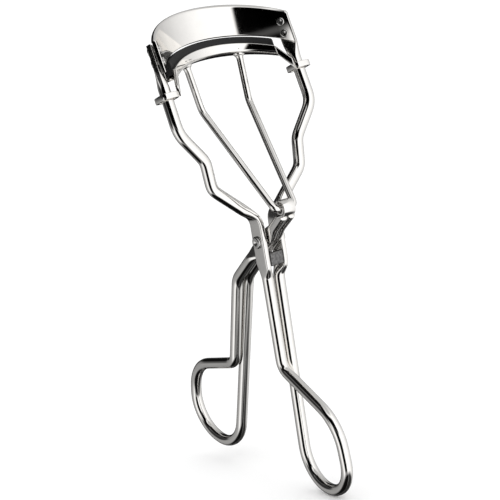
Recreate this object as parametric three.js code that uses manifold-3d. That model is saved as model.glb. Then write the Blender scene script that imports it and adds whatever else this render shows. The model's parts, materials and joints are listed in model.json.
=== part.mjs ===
// Eyelash curler: a bent-wire frame with an arched top plate, a lower jaw with a rubber pad that
// slides up the frame wires, and a finger lever that drives the jaw through two thin wires.
//
// Millimetres. +Z runs up the tool, from the finger loops to the jaws. X runs across the jaws and
// is the axis of both hinges. The hollow side of the jaws and the fixed finger loop face -Y.
// Shapes are worked out about the pivot axis, and the group is then stood on z = 0.
import * as THREE from 'three';
import { mergeVertices } from 'three/addons/utils/BufferGeometryUtils.js';
import Module from 'manifold-3d';

const wasm = await Module();
wasm.setup();

// ---------------------------------------------------------------- driving dimensions (mm)

// Wires
const WIRE_D = 2.5;                // frame and lever wire
const LINK_D = 1.5;                // thin wires between the lever and the lower jaw
const STRAND_GAP = 0.4;            // between the two strands of a handle
const STRAND_X = (WIRE_D + STRAND_GAP) / 2;

// Side wires of the frame, as corner points on the right-hand side
const SHOULDER_SPREAD = 0.26;      // widest corner, below the guides: this far outside the straps
const SHOULDER_W = 25.4;           // its height along the leaning jaw axis
const WAIST_TOP = { x: 11.75, y: 0.8, z: 19.5 };
const WAIST_LOW = { x: 11.25, y: 0.8, z: 13.3 };
const SHOULDER_BEND = 5.0;
const WAIST_BEND = 2.6;
const NECK_BEND = 3.0;
const NECK_RISE = 0.2;             // the neck's corner, above the flat of the eye
const FRAME_JOIN_DROP = 3.4;       // from the eye down to where the finger loop's strands begin
const FRAME_JOIN_RUN = 0.6;        // straight length of strand above that place

// Jaws: both curve about one axis that leans back from the handles
const JAW_LEAN = 17.5;             // degrees
const JAW_R = 20.0;                // radius of the top plate's hollow face
const JAW_MIDDLE_V = -1.1;         // place of that face's middle, square to the lean
const JAW_HALF_ANGLE = 55;         // degrees, half the arc of the top plate
const JAW_ARCH = 6.6;              // how far the jaws' ends drop below their middle

const PLATE_T = 0.9;
const PLATE_H = 7.0;
const PLATE_LOW_W = 44.6;          // lower edge of the top plate at its middle
const LIP_R = 0.4;                 // inner bend radius of the rolled upper edge
const LIP_TURN = 60;               // degrees

const PAD_T = 1.6;                 // rubber pad, front to back
const PAD_PROUD = 1.7;             // how far the pad stands out of its channel
const PAD_DEPTH = 1.2;             // how far it sits in
const CHANNEL_WALL = 0.6;
const CHANNEL_HALF_ANGLE = 42;     // degrees
const PAD_END_INSET = 1.2;         // degrees between the pad's end and the channel's

// Flattened wire ends on the back of the top plate
const STRAP_ANGLE = 49.5;          // degrees round the jaw axis
const STRAP_T = 1.1;
const STRAP_W = 3.2;
const STRAP_TOP_W = 44.7;
const STRAP_FLAT_W = 39.4;         // flat from here up
const STRAP_ROUND_W = 35.0;        // round from here down
const PLATE_RIVETS_W = [40.7, 43.3];
const PLATE_RIVET_D = 1.0;
const PLATE_RIVET_HEAD_D = 1.7;
const PLATE_RIVET_HEAD_H = 0.35;
const PLATE_RIVET_RIM = 0.12;      // height of the head's rim
const PLATE_RIVET_BEVEL = 0.25;    // width of the head's bevel, rim to crown

// Guides: a slotted tab on each end of the lower jaw, round the side wire
const GUIDE_W = 33.3;              // height along the jaw axis
const GUIDE_T = 1.3;
const GUIDE_DEPTH = 4.8;
const GUIDE_OUTER_WALL = 0.6;
const GUIDE_INNER_WALL = 0.8;
const GUIDE_SIDE_PLAY = 0.4;
const GUIDE_DEPTH_PLAY = 0.65;     // takes up the swing of the link wires
const GUIDE_TONGUE_T = 0.7;        // tongue from the tab up to the end of the lower jaw
const GUIDE_TONGUE_RISE = 1.0;     // its height above the tab where they meet
const GUIDE_TONGUE_STEPS = 6;

// Pivot, at the origin
const EYE_T = 1.3;                 // flattened frame wire at the pivot
const EYE_W = 4.1;
const EYE_TOP = 4.9;
const EYE_LOW = -5.2;
const EYE_TAPER = 3.0;             // length over which the round wire becomes the flat eye
const LEVER_EYE_T = 1.2;           // flattened lever wire at the pivot
const LEVER_EYE_W = 3.4;
const EYE_GAP = 0.3;               // between flattened faces
const SPACER_LOW = 0.2;            // block between the eyes: this far below their flat
const SPACER_H = 2.9;
const SPACER_BACK_Y = -0.3;
const SPACER_CHAMFER = { y: 0.8, z: 0.7 }; // clears the lever
const PIVOT_D = 1.6;
const PIVOT_HEAD_D = 2.6;
const PIVOT_HEAD_H = 0.5;
const PIVOT_PLAY = 0.1;            // radial
const PIVOT_RIM = 0.15;            // height of the head's rim, and depth of its dimple
const PIVOT_BEVEL = 0.25;          // width of the bevel between the head's rim and its crown
const PIVOT_DIMPLE_D = 1.2;

// Lever: barrel in front of and above the pivot, finger loop behind and below it
const BARREL = { y: -8.1, z: 7.6 };
const BARREL_D = 4.0;
const BARREL_BORE_PLAY = 0.15;     // radial, round the link wire's hooked end
const BARREL_L = 2.8;
const LEVER_KNEE = { y: 12.9, z: -9.8 };
const LEVER_BEND = 4.0;
const LEVER_EYE_REACH = 4.0;       // flat this far from the pivot, then tapering to round
const LEVER_TAPER = 3.0;           // the two strands part over this length
const LEVER_NECK_BEND = 4.0;
const LEVER_EYE_BEND = 6.0;
const ARM_PAST_BARREL = 0.6;       // the arm's tip runs on under the barrel
const ARM_DROP = 1.7;
const LEVER_SPLAY = 19.0;          // degrees between the lever's strands and the frame's

// Finger loops: nearly the same outline on both handles
const FRONT_STRAND_Y = 0.6;
const FRONT_SHOULDER_Z = -28.5;
const REAR_STRAND_L = 21.6;        // knee to shoulder
const FRONT_LOOP = { length: 26.6, width: 16.8, slant: 9.8, cornerR: 10.0 };
const REAR_LOOP = { length: 25.4, width: 17.0, slant: 9.4, cornerR: 11.0 };
const LOOP_SHOULDER_R = 3.0;
const LOOP_END_R = 8.3;
const LOOP_TWIST = [-STRAND_X, -0.9, 0.0, 0.7]; // X of each corner: the loop crosses over as it turns

// Link wires
const LINK_TOP_X = 6.75;
const LINK_KNEE = { x: 6.0, v: -0.75, w: 29.8 };
const LINK_KNEE_BEND = 4.0;
const LINK_SIDE_GAP = 0.3;         // link wire to the end face of the barrel
const LINK_HOOK_END_X = 0.4;
const LINK_HOOK_INNER_R = 0.075;

const JOIN_GAP = 0.3;              // between separate pieces that touch
const RIVET_GAP = 0.1;             // radial, round a fixed rivet

// Fineness of the skins
const SHAPED_RUN = 1.6;            // longest step along a wire that changes section
const LINK_RUN = 3.0;
const FLAT_SQUARENESS = 0.45;      // section of a flattened wire: 1 is an ellipse, 0 a rectangle
const THROUGH = 8;                 // a cutting tool's length, well past the piece it cuts

// ---------------------------------------------------------------- finishes

const finish = (color, roughness, metalness) => () => new THREE.MeshStandardMaterial({
  color, roughness, metalness,
});
const polishedSteel = finish('#c9c9cc', 0.12, 1.0);
const rivetSteel = finish('#b9b9bd', 0.25, 1.0);
const blackRubber = finish('#1b1b1d', 0.75, 0.0);

// ---------------------------------------------------------------- small tools

const radians = THREE.MathUtils.degToRad;
const vec = (x, y, z) => new THREE.Vector3(x, y, z);

// A place given in the leaning jaw frame: v is square to the jaw axis, w runs up it.
const LEAN = radians(JAW_LEAN);
const JAW_AXIS_V = JAW_MIDDLE_V - JAW_R;
const jawPoint = (x, v, w) => vec(
  x,
  v * Math.cos(LEAN) + w * Math.sin(LEAN),
  -v * Math.sin(LEAN) + w * Math.cos(LEAN),
);

// A place on the jaws' arc: angle from the middle, radius, and height before the arch is taken off.
const archDrop = (angle) => JAW_ARCH * (angle / radians(JAW_HALF_ANGLE)) ** 2;
const arcPoint = (angle, r, w) => jawPoint(
  r * Math.sin(angle),
  JAW_AXIS_V + r * Math.cos(angle),
  w - archDrop(angle),
);

// Skin over a row of rings with equal counts of points, closed by two flat caps.
function loft(rings) {
  const count = rings[0].length;
  const positions = rings.flat().flatMap((p) => [p.x, p.y, p.z]);
  const index = [];
  for (let i = 0; i < rings.length - 1; i += 1) {
    for (let j = 0; j < count; j += 1) {
      const a = i * count + j;
      const b = i * count + (j + 1) % count;
      index.push(a, b, b + count, a, b + count, a + count);
    }
  }
  const first = capTriangles(rings[0]);
  const last = capTriangles(rings[rings.length - 1]);
  const base = (rings.length - 1) * count;
  for (const [a, b, c] of first) index.push(a, c, b);
  for (const [a, b, c] of last) index.push(base + a, base + b, base + c);
  const geometry = new THREE.BufferGeometry();
  geometry.setAttribute('position', new THREE.Float32BufferAttribute(positions, 3));
  geometry.setIndex(index);
  return faceOutwards(geometry);
}

// Triangles over a flat ring, turning the same way as the ring does.
function capTriangles(ring) {
  const centre = ring.reduce((sum, p) => sum.add(p), vec(0, 0, 0)).divideScalar(ring.length);
  const normal = vec(0, 0, 0);
  ring.forEach((p, i) => {
    const next = ring[(i + 1) % ring.length];
    normal.add(p.clone().sub(centre).cross(next.clone().sub(centre)));
  });
  normal.normalize();
  const u = ring[0].clone().sub(centre).normalize();
  const v = normal.clone().cross(u);
  const flat = ring.map((p) => {
    const d = p.clone().sub(centre);
    return new THREE.Vector2(d.dot(u), d.dot(v));
  });
  return THREE.ShapeUtils.triangulateShape(flat, []);
}

// Turns every face round if the skin encloses a negative volume.
function faceOutwards(geometry) {
  const p = geometry.attributes.position;
  const index = geometry.index.array;
  let volume = 0;
  for (let i = 0; i < index.length; i += 3) {
    const [a, b, c] = [0, 1, 2].map((k) => new THREE.Vector3().fromBufferAttribute(p, index[i + k]));
    volume += a.dot(b.cross(c));
  }
  if (volume < 0) {
    for (let i = 0; i < index.length; i += 3) {
      [index[i], index[i + 1]] = [index[i + 1], index[i]];
    }
  }
  return geometry;
}

// Straight runs between corners, each corner rounded to its own bend radius.
function bentPath(corners, run = 2.5, turn = 12) {
  const points = [corners[0].at.clone()];
  for (let i = 1; i < corners.length - 1; i += 1) {
    const { at, bend } = corners[i];
    const back = corners[i - 1].at.clone().sub(at).normalize();
    const ahead = corners[i + 1].at.clone().sub(at).normalize();
    const angle = Math.PI - back.angleTo(ahead);
    const start = at.clone().addScaledVector(back, bend * Math.tan(angle / 2));
    const inward = back.clone().add(ahead).normalize();
    const centre = at.clone().addScaledVector(inward, bend / Math.cos(angle / 2));
    const arm = start.clone().sub(centre);
    const axis = ahead.clone().cross(back).normalize();
    const steps = Math.max(2, Math.ceil(THREE.MathUtils.radToDeg(angle) / turn));
    for (let k = 0; k <= steps; k += 1) {
      points.push(arm.clone().applyAxisAngle(axis, (angle * k) / steps).add(centre));
    }
  }
  points.push(corners[corners.length - 1].at.clone());
  return fillRuns(points, run);
}

// Adds points so that no run is longer than a given length.
function fillRuns(points, longest) {
  const filled = [points[0]];
  for (let i = 1; i < points.length; i += 1) {
    const steps = Math.max(1, Math.ceil(points[i].distanceTo(points[i - 1]) / longest));
    for (let k = 1; k <= steps; k += 1) {
      filled.push(points[i - 1].clone().lerp(points[i], k / steps));
    }
  }
  return filled;
}

// A wire along a path. section(point) gives the direction it is thin in, its thickness there, its
// width, and how square its corners are: 1 is a circle or an ellipse, smaller is squarer.
function wire(points, section, sides = 14) {
  const rings = points.map((point, i) => {
    const before = points[Math.max(0, i - 1)];
    const after = points[Math.min(points.length - 1, i + 1)];
    const along = after.clone().sub(before).normalize();
    const { thin, thickness, width, squareness } = section(point);
    const u = thin.clone().addScaledVector(along, -thin.dot(along)).normalize();
    const v = along.clone().cross(u);
    return Array.from({ length: sides }, (_, k) => {
      const a = (2 * Math.PI * (k + 0.5)) / sides;
      const c = Math.cos(a);
      const s = Math.sin(a);
      return point.clone()
        .addScaledVector(u, 0.5 * thickness * Math.sign(c) * Math.abs(c) ** squareness)
        .addScaledVector(v, 0.5 * width * Math.sign(s) * Math.abs(s) ** squareness);
    });
  });
  return loft(rings);
}

const roundSection = (diameter, thin = vec(1, 0, 0)) => ({
  thin, thickness: diameter, width: diameter, squareness: 1,
});

// Between a round section and a flat one: share 0 is round, 1 is flat.
function flattened(share, diameter, thin, thickness, width) {
  const t = THREE.MathUtils.smoothstep(share, 0, 1);
  return {
    thin,
    thickness: THREE.MathUtils.lerp(diameter, thickness, t),
    width: THREE.MathUtils.lerp(diameter, width, t),
    squareness: THREE.MathUtils.lerp(1, FLAT_SQUARENESS, t),
  };
}

// Cylinder along a direction, centred on a point.
function rod(centre, direction, length, diameter, sides = 24) {
  const geometry = new THREE.CylinderGeometry(diameter / 2, diameter / 2, length, sides);
  const turn = new THREE.Quaternion().setFromUnitVectors(vec(0, 1, 0), direction.clone().normalize());
  geometry.applyQuaternion(turn);
  geometry.translate(centre.x, centre.y, centre.z);
  return geometry;
}

// Body of revolution about a direction; the profile is a list of [radius, distance along it].
function turned(centre, direction, profile, sides = 24) {
  const outline = profile.map(([r, h]) => new THREE.Vector2(r, h));
  const geometry = new THREE.LatheGeometry(outline, sides);
  const turn = new THREE.Quaternion().setFromUnitVectors(vec(0, 1, 0), direction.clone().normalize());
  geometry.applyQuaternion(turn);
  geometry.translate(centre.x, centre.y, centre.z);
  return faceOutwards(mergeVertices(bare(geometry), 1e-4));
}

function bare(geometry) {
  geometry.deleteAttribute('normal');
  geometry.deleteAttribute('uv');
  return geometry;
}

function toSolid(geometry) {
  const merged = mergeVertices(bare(geometry), 1e-4);
  return new wasm.Manifold(new wasm.Mesh({
    numProp: 3,
    vertProperties: new Float32Array(merged.attributes.position.array),
    triVerts: new Uint32Array(merged.index.array),
  }));
}

function toGeometry(solid) {
  const { vertProperties, triVerts } = solid.getMesh();
  const geometry = new THREE.BufferGeometry();
  geometry.setAttribute('position', new THREE.BufferAttribute(vertProperties, 3));
  geometry.setIndex(new THREE.BufferAttribute(triVerts, 1));
  return geometry;
}

const cut = (geometry, ...tools) => toGeometry(
  tools.reduce((solid, tool) => solid.subtract(toSolid(tool)), toSolid(geometry)),
);
const join = (geometry, ...others) => toGeometry(
  others.reduce((solid, other) => solid.add(toSolid(other)), toSolid(geometry)),
);

// ---------------------------------------------------------------- the object

const curler = new THREE.Group();

function addPiece(name, geometry, material) {
  const shaded = geometry.index ? geometry.toNonIndexed() : geometry;
  shaded.computeVertexNormals();
  const mesh = new THREE.Mesh(shaded, material());
  mesh.name = name;
  curler.add(mesh);
}

const SIDES = [['left', -1], ['right', 1]];

// Sweeps a closed outline of [radius, height] pairs along the jaws' arc.
function arcBody(outline, halfAngle, steps) {
  const rings = [];
  for (let i = 0; i <= steps; i += 1) {
    const angle = radians(halfAngle) * (2 * i / steps - 1);
    rings.push(outline.map(([r, w]) => arcPoint(angle, r, w)));
  }
  return loft(rings);
}

// ---- fixed frame

const strapR = JAW_R + PLATE_T + JOIN_GAP + STRAP_T / 2;
const strapX = strapR * Math.sin(radians(STRAP_ANGLE));
const strapV = JAW_AXIS_V + strapR * Math.cos(radians(STRAP_ANGLE));
const shoulderX = strapX + SHOULDER_SPREAD;
const eyeX = LEVER_EYE_T + EYE_GAP / 2 + EYE_GAP + EYE_T / 2;

// Outward direction, square to the plate, where a strap lies on it.
const strapOutward = (side) => {
  const a = side * radians(STRAP_ANGLE);
  return jawPoint(Math.sin(a), Math.cos(a), 0);
};

const plateRivetCentres = (side) => PLATE_RIVETS_W.map((w) => {
  const a = radians(STRAP_ANGLE);
  const r = JAW_R + (PLATE_T + JOIN_GAP + STRAP_T) / 2;
  return jawPoint(side * r * Math.sin(a), JAW_AXIS_V + r * Math.cos(a), w);
});
const plateRivetHole = (side) => plateRivetCentres(side).map(
  (centre) => rod(centre, strapOutward(side), THROUGH, PLATE_RIVET_D + 2 * RIVET_GAP, 20),
);

function topPlateOutline() {
  const low = PLATE_LOW_W;
  const bendR = JAW_R + PLATE_T + LIP_R;
  const bendW = low + PLATE_H - PLATE_T - LIP_R;
  const onBend = (radius, degrees) => [
    bendR - radius * Math.cos(radians(degrees)),
    bendW + radius * Math.sin(radians(degrees)),
  ];
  const turns = [0, 0.25, 0.5, 0.75, 1].map((share) => share * LIP_TURN);
  return [
    [JAW_R + PLATE_T, low],
    [JAW_R, low],
    ...turns.map((a) => onBend(LIP_R + PLATE_T, a)),
    ...turns.reverse().map((a) => onBend(LIP_R, a)),
  ];
}

addPiece(
  'top_plate',
  cut(arcBody(topPlateOutline(), JAW_HALF_ANGLE, 36), ...SIDES.flatMap(([, side]) => plateRivetHole(side))),
  polishedSteel,
);

// Side wires: flat strap on the plate, wavy round wire, flat eye at the pivot, and the first
// stretch of the handle strand.
const strandJoinZ = EYE_LOW - FRAME_JOIN_DROP;

function sideWire(side) {
  const corners = [
    { at: jawPoint(side * strapX, strapV, STRAP_TOP_W) },
    { at: jawPoint(side * shoulderX, strapV, SHOULDER_W), bend: SHOULDER_BEND },
    { at: vec(side * WAIST_TOP.x, WAIST_TOP.y, WAIST_TOP.z), bend: WAIST_BEND },
    { at: vec(side * WAIST_LOW.x, WAIST_LOW.y, WAIST_LOW.z), bend: WAIST_BEND },
    { at: vec(side * eyeX, 0, EYE_TOP + NECK_RISE), bend: NECK_BEND },
    { at: vec(side * eyeX, 0, EYE_LOW), bend: NECK_BEND },
    { at: vec(side * STRAND_X, FRONT_STRAND_Y, strandJoinZ + FRAME_JOIN_RUN), bend: NECK_BEND },
    { at: vec(side * STRAND_X, FRONT_STRAND_Y, strandJoinZ) },
  ];
  const outward = strapOutward(side);
  const section = (point) => {
    const w = point.y * Math.sin(LEAN) + point.z * Math.cos(LEAN);
    if (w > STRAP_ROUND_W) {
      const share = (w - STRAP_ROUND_W) / (STRAP_FLAT_W - STRAP_ROUND_W);
      return flattened(share, WIRE_D, outward, STRAP_T, STRAP_W);
    }
    const thin = w > SHOULDER_W ? outward : vec(side, 0, 0);
    const beyond = Math.max(point.z - EYE_TOP, EYE_LOW - point.z, 0);
    return flattened(1 - beyond / EYE_TAPER, WIRE_D, thin, EYE_T, EYE_W);
  };
  const pivotHole = rod(vec(side * eyeX, 0, 0), vec(1, 0, 0), THROUGH, PIVOT_D + 2 * RIVET_GAP);
  return cut(wire(bentPath(corners, SHAPED_RUN), section), pivotHole, ...plateRivetHole(side));
}

for (const [name, side] of SIDES) addPiece(`frame_wire_${name}`, sideWire(side), polishedSteel);

// Rivets through the top plate and each strap
function plateRivet(centre, side) {
  const shank = PLATE_RIVET_D / 2;
  const head = PLATE_RIVET_HEAD_D / 2;
  const reach = (PLATE_T + JOIN_GAP + STRAP_T) / 2 + RIVET_GAP;
  const rim = reach + PLATE_RIVET_RIM;
  const tip = reach + PLATE_RIVET_HEAD_H;
  const crown = head - PLATE_RIVET_BEVEL;
  return turned(centre, strapOutward(side), [
    [0, -tip], [crown, -tip], [head, -rim], [head, -reach], [shank, -reach],
    [shank, reach], [head, reach], [head, rim], [crown, tip], [0, tip],
  ], 20);
}

for (const [name, side] of SIDES) {
  const [lower, upper] = plateRivetCentres(side);
  addPiece(`plate_rivet_${name}_lower`, plateRivet(lower, side), rivetSteel);
  addPiece(`plate_rivet_${name}_upper`, plateRivet(upper, side), rivetSteel);
}

// Pivot rivet with a formed head on the outer face of each eye
function pivotRivet() {
  const shank = PIVOT_D / 2;
  const head = PIVOT_HEAD_D / 2;
  const reach = eyeX + EYE_T / 2 + RIVET_GAP;
  const rim = reach + PIVOT_RIM;
  const tip = reach + PIVOT_HEAD_H;
  const dimple = PIVOT_DIMPLE_D / 2;
  const crown = head - PIVOT_BEVEL;
  const half = [
    [shank, reach], [head, reach], [head, rim], [crown, tip], [dimple, tip], [0, tip - PIVOT_RIM],
  ];
  const other = half.map(([r, x]) => [r, -x]).reverse();
  return turned(vec(0, 0, 0), vec(1, 0, 0), [...other, ...half], 28);
}
addPiece('pivot_rivet', pivotRivet(), rivetSteel);

// Block that holds the two eyes apart below the lever
function eyeSpacer() {
  const half = eyeX - EYE_T / 2 - EYE_GAP;
  const front = -EYE_W / 2;
  const low = EYE_LOW - SPACER_LOW;
  const top = low + SPACER_H;
  const outline = new THREE.Shape([
    new THREE.Vector2(front, low),
    new THREE.Vector2(SPACER_BACK_Y, low),
    new THREE.Vector2(SPACER_BACK_Y, top - SPACER_CHAMFER.z),
    new THREE.Vector2(SPACER_BACK_Y - SPACER_CHAMFER.y, top),
    new THREE.Vector2(front, top),
  ]);
  const geometry = new THREE.ExtrudeGeometry(outline, { depth: 2 * half, bevelEnabled: false });
  geometry.applyMatrix4(new THREE.Matrix4().makeBasis(vec(0, 1, 0), vec(0, 0, 1), vec(1, 0, 0)));
  geometry.translate(-half, 0, 0);
  return faceOutwards(mergeVertices(bare(geometry), 1e-4));
}
addPiece('eye_spacer', eyeSpacer(), polishedSteel);

// ---- finger loops

// Corners of a finger loop. From the shoulder, down runs along the strands and out leads away from
// the other handle; the slant is how far down the outer corner lies. The first strand bends
// outwards at the shoulder and the loop comes back up as the second strand.
function loopCorners(shoulder, down, out, { length, width, slant, cornerR }) {
  const plan = [
    { p: 0, q: 0, bend: LOOP_SHOULDER_R },
    { p: slant, q: width, bend: cornerR },
    { p: length, q: width, bend: LOOP_END_R },
    { p: length, q: 0, bend: LOOP_END_R },
  ];
  return plan.map(({ p, q, bend }, i) => ({
    at: shoulder.clone().addScaledVector(down, p).addScaledVector(out, q).setX(LOOP_TWIST[i]),
    bend,
  }));
}

function frontFingerLoop() {
  const shoulder = vec(0, FRONT_STRAND_Y, FRONT_SHOULDER_Z);
  const top = strandJoinZ - JOIN_GAP;
  const corners = [
    { at: vec(-STRAND_X, FRONT_STRAND_Y, top) },
    ...loopCorners(shoulder, vec(0, 0, -1), vec(0, -1, 0), FRONT_LOOP),
    { at: vec(STRAND_X, FRONT_STRAND_Y, top) },
  ];
  return wire(bentPath(corners), () => roundSection(WIRE_D));
}
addPiece('front_finger_loop', frontFingerLoop(), polishedSteel);

// ---- lever: arm, eye and rear finger loop bent from one wire

const barrelAxis = vec(0, BARREL.y, BARREL.z);
const armDirection = barrelAxis.clone().normalize();
const leverEyeX = (LEVER_EYE_T + EYE_GAP) / 2;

function leverWire() {
  const knee = vec(0, LEVER_KNEE.y, LEVER_KNEE.z);
  const splay = radians(LEVER_SPLAY);
  const down = vec(0, Math.sin(splay), -Math.cos(splay));
  const out = vec(0, Math.cos(splay), Math.sin(splay));
  const shoulder = knee.clone().addScaledVector(down, REAR_STRAND_L);
  const armEnd = barrelAxis.clone().addScaledVector(armDirection, ARM_PAST_BARREL)
    .add(vec(0, 0, -ARM_DROP));
  const neck = (reach) => knee.clone().setLength(reach);
  const strand = (side) => [
    { at: armEnd.clone().setX(side * leverEyeX) },
    { at: vec(side * leverEyeX, 0, 0), bend: LEVER_EYE_BEND },
    { at: neck(LEVER_EYE_REACH).setX(side * leverEyeX), bend: LEVER_NECK_BEND },
    { at: neck(LEVER_EYE_REACH + LEVER_TAPER).setX(side * STRAND_X), bend: LEVER_NECK_BEND },
    { at: knee.clone().setX(side * STRAND_X), bend: LEVER_BEND },
  ];
  const corners = [
    ...strand(-1),
    ...loopCorners(shoulder, down, out, REAR_LOOP),
    ...strand(1).reverse(),
  ];
  const section = (point) => {
    const reach = point.y > 0 ? Math.hypot(point.y, point.z) - LEVER_EYE_REACH : 0;
    const share = 1 - reach / LEVER_TAPER;
    return flattened(share, WIRE_D, vec(1, 0, 0), LEVER_EYE_T, LEVER_EYE_W);
  };
  const pivotHole = rod(vec(0, 0, 0), vec(1, 0, 0), THROUGH, PIVOT_D + 2 * PIVOT_PLAY, 28);
  const barrelSeat = rod(barrelAxis, vec(1, 0, 0), THROUGH, BARREL_D + 2 * JOIN_GAP, 32);
  return cut(wire(bentPath(corners), section), pivotHole, barrelSeat);
}
addPiece('rear_finger_lever', leverWire(), polishedSteel);

// Barrel on the end of the arm, rolled from sheet and open at both ends
function leverBarrel() {
  const bore = LINK_D + 2 * BARREL_BORE_PLAY;
  return cut(
    rod(barrelAxis, vec(1, 0, 0), BARREL_L, BARREL_D, 32),
    rod(barrelAxis, vec(1, 0, 0), THROUGH, bore, 32),
  );
}
addPiece('lever_barrel', leverBarrel(), polishedSteel);

// ---- sliding jaw

const padTopW = PLATE_LOW_W - JOIN_GAP;
const channelTopW = padTopW - PAD_PROUD;
const padLowW = channelTopW - PAD_DEPTH;
const channelFloorW = padLowW - JOIN_GAP;
const channelLowW = channelFloorW - CHANNEL_WALL;
const padMidR = JAW_R + PLATE_T / 2;
const padInR = padMidR - PAD_T / 2;
const padOutR = padMidR + PAD_T / 2;
const slotInR = padInR - JOIN_GAP;
const slotOutR = padOutR + JOIN_GAP;

addPiece('rubber_pad', arcBody([
  [padOutR, padLowW], [padInR, padLowW], [padInR, padTopW], [padOutR, padTopW],
], CHANNEL_HALF_ANGLE - PAD_END_INSET, 30), blackRubber);

addPiece('lower_jaw', arcBody([
  [slotOutR + CHANNEL_WALL, channelLowW],
  [slotInR - CHANNEL_WALL, channelLowW],
  [slotInR - CHANNEL_WALL, channelTopW],
  [slotInR, channelTopW],
  [slotInR, channelFloorW],
  [slotOutR, channelFloorW],
  [slotOutR, channelTopW],
  [slotOutR + CHANNEL_WALL, channelTopW],
], CHANNEL_HALF_ANGLE, 30), polishedSteel);

// Tongue along the jaws' arc, from the hollow side of the lower jaw's end down to a guide tab
function guideTongue(side, endX, low, high) {
  const inR = slotInR - CHANNEL_WALL;
  const outR = inR + GUIDE_TONGUE_T;
  const start = radians(CHANNEL_HALF_ANGLE) + JOIN_GAP / inR;
  const end = Math.asin(endX / outR);
  const rings = [];
  for (let i = 0; i <= GUIDE_TONGUE_STEPS; i += 1) {
    const share = i / GUIDE_TONGUE_STEPS;
    const angle = side * THREE.MathUtils.lerp(start, end, share);
    const w0 = THREE.MathUtils.lerp(channelLowW - archDrop(start), low, share);
    const w1 = THREE.MathUtils.lerp(channelTopW - archDrop(start), high + GUIDE_TONGUE_RISE, share);
    const corners = [[outR, w0], [inR, w0], [inR, w1], [outR, w1]];
    rings.push(corners.map(([r, w]) => jawPoint(r * Math.sin(angle), JAW_AXIS_V + r * Math.cos(angle), w)));
  }
  return loft(rings);
}

// Guide tab round the side wire
function jawGuide(side) {
  const share = (GUIDE_W - STRAP_TOP_W) / (SHOULDER_W - STRAP_TOP_W);
  const wireX = THREE.MathUtils.lerp(strapX, shoulderX, share);
  const slotX = WIRE_D / 2 + GUIDE_SIDE_PLAY;
  const slotV = WIRE_D / 2 + GUIDE_DEPTH_PLAY;
  const inner = wireX - slotX - GUIDE_INNER_WALL;
  const outer = wireX + slotX + GUIDE_OUTER_WALL;
  const block = (x0, x1, v0, v1, w0, w1) => {
    const geometry = new THREE.BoxGeometry(x1 - x0, v1 - v0, w1 - w0);
    geometry.translate(side * (x0 + x1) / 2, (v0 + v1) / 2, (w0 + w1) / 2);
    geometry.rotateX(-LEAN);
    return geometry;
  };
  const low = GUIDE_W - GUIDE_T / 2;
  const high = GUIDE_W + GUIDE_T / 2;
  const front = strapV - GUIDE_DEPTH / 2;
  const back = strapV + GUIDE_DEPTH / 2;
  return cut(
    join(
      block(inner, outer, front, back, low, high),
      guideTongue(side, inner + GUIDE_TONGUE_T, low, high),
    ),
    block(wireX - slotX, wireX + slotX, strapV - slotV, strapV + slotV, low - THROUGH / 2, high + THROUGH / 2),
  );
}
for (const [name, side] of SIDES) addPiece(`jaw_guide_${name}`, jawGuide(side), polishedSteel);

// Link wires: from the underside of the lower jaw down to a hook in each end of the barrel
function linkWire(side) {
  const angle = Math.asin(LINK_TOP_X / padMidR);
  const hookX = BARREL_L / 2 + LINK_SIDE_GAP + LINK_D / 2;
  const corners = [
    { at: jawPoint(
      side * LINK_TOP_X,
      JAW_AXIS_V + padMidR * Math.cos(angle),
      channelLowW - archDrop(angle) - JOIN_GAP,
    ) },
    { at: jawPoint(side * LINK_KNEE.x, LINK_KNEE.v, LINK_KNEE.w), bend: LINK_KNEE_BEND },
    { at: barrelAxis.clone().setX(side * hookX), bend: LINK_D / 2 + LINK_HOOK_INNER_R },
    { at: barrelAxis.clone().setX(side * LINK_HOOK_END_X) },
  ];
  return wire(bentPath(corners, LINK_RUN), () => roundSection(LINK_D, vec(0, 1, 0.2)), 12);
}
for (const [name, side] of SIDES) addPiece(`link_wire_${name}`, linkWire(side), polishedSteel);

// ---- stand the tool on z = 0, with the origin under the middle of its box

const box = new THREE.Box3().setFromObject(curler);
const middle = box.getCenter(vec(0, 0, 0));
curler.position.set(-middle.x, -middle.y, -box.min.z);

export default curler;
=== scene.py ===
"""Eyelash curler: polished nickel wire, sheet-metal jaws and a rubber pad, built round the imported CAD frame.

Lengths in the dataclasses are millimetres, measured from the axis of the main pivot: X runs across
the jaws, +Z runs up to them and their hollow side faces -Y. Everything handed to Blender is metres.
"""

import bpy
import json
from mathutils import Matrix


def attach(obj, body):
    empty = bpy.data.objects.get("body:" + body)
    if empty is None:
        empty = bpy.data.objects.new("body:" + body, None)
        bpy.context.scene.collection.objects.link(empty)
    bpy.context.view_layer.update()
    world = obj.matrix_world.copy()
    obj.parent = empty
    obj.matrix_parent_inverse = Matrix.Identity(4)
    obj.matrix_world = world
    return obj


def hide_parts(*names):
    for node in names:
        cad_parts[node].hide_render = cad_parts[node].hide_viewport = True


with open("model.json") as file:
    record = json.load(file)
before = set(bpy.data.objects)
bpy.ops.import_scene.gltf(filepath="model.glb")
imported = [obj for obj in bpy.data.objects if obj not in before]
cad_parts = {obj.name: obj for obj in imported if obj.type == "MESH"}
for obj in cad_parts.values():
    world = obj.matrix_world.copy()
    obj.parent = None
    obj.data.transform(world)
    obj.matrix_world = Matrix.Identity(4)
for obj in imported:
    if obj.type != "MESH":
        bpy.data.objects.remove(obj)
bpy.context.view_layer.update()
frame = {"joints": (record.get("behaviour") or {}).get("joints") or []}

import json
import logging
import math
from dataclasses import dataclass, field, replace
from enum import Enum
from typing import Any, Callable, Iterable, Optional, Sequence

import bmesh
import bpy
from mathutils import Matrix, Vector

log = logging.getLogger("curler")

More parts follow.
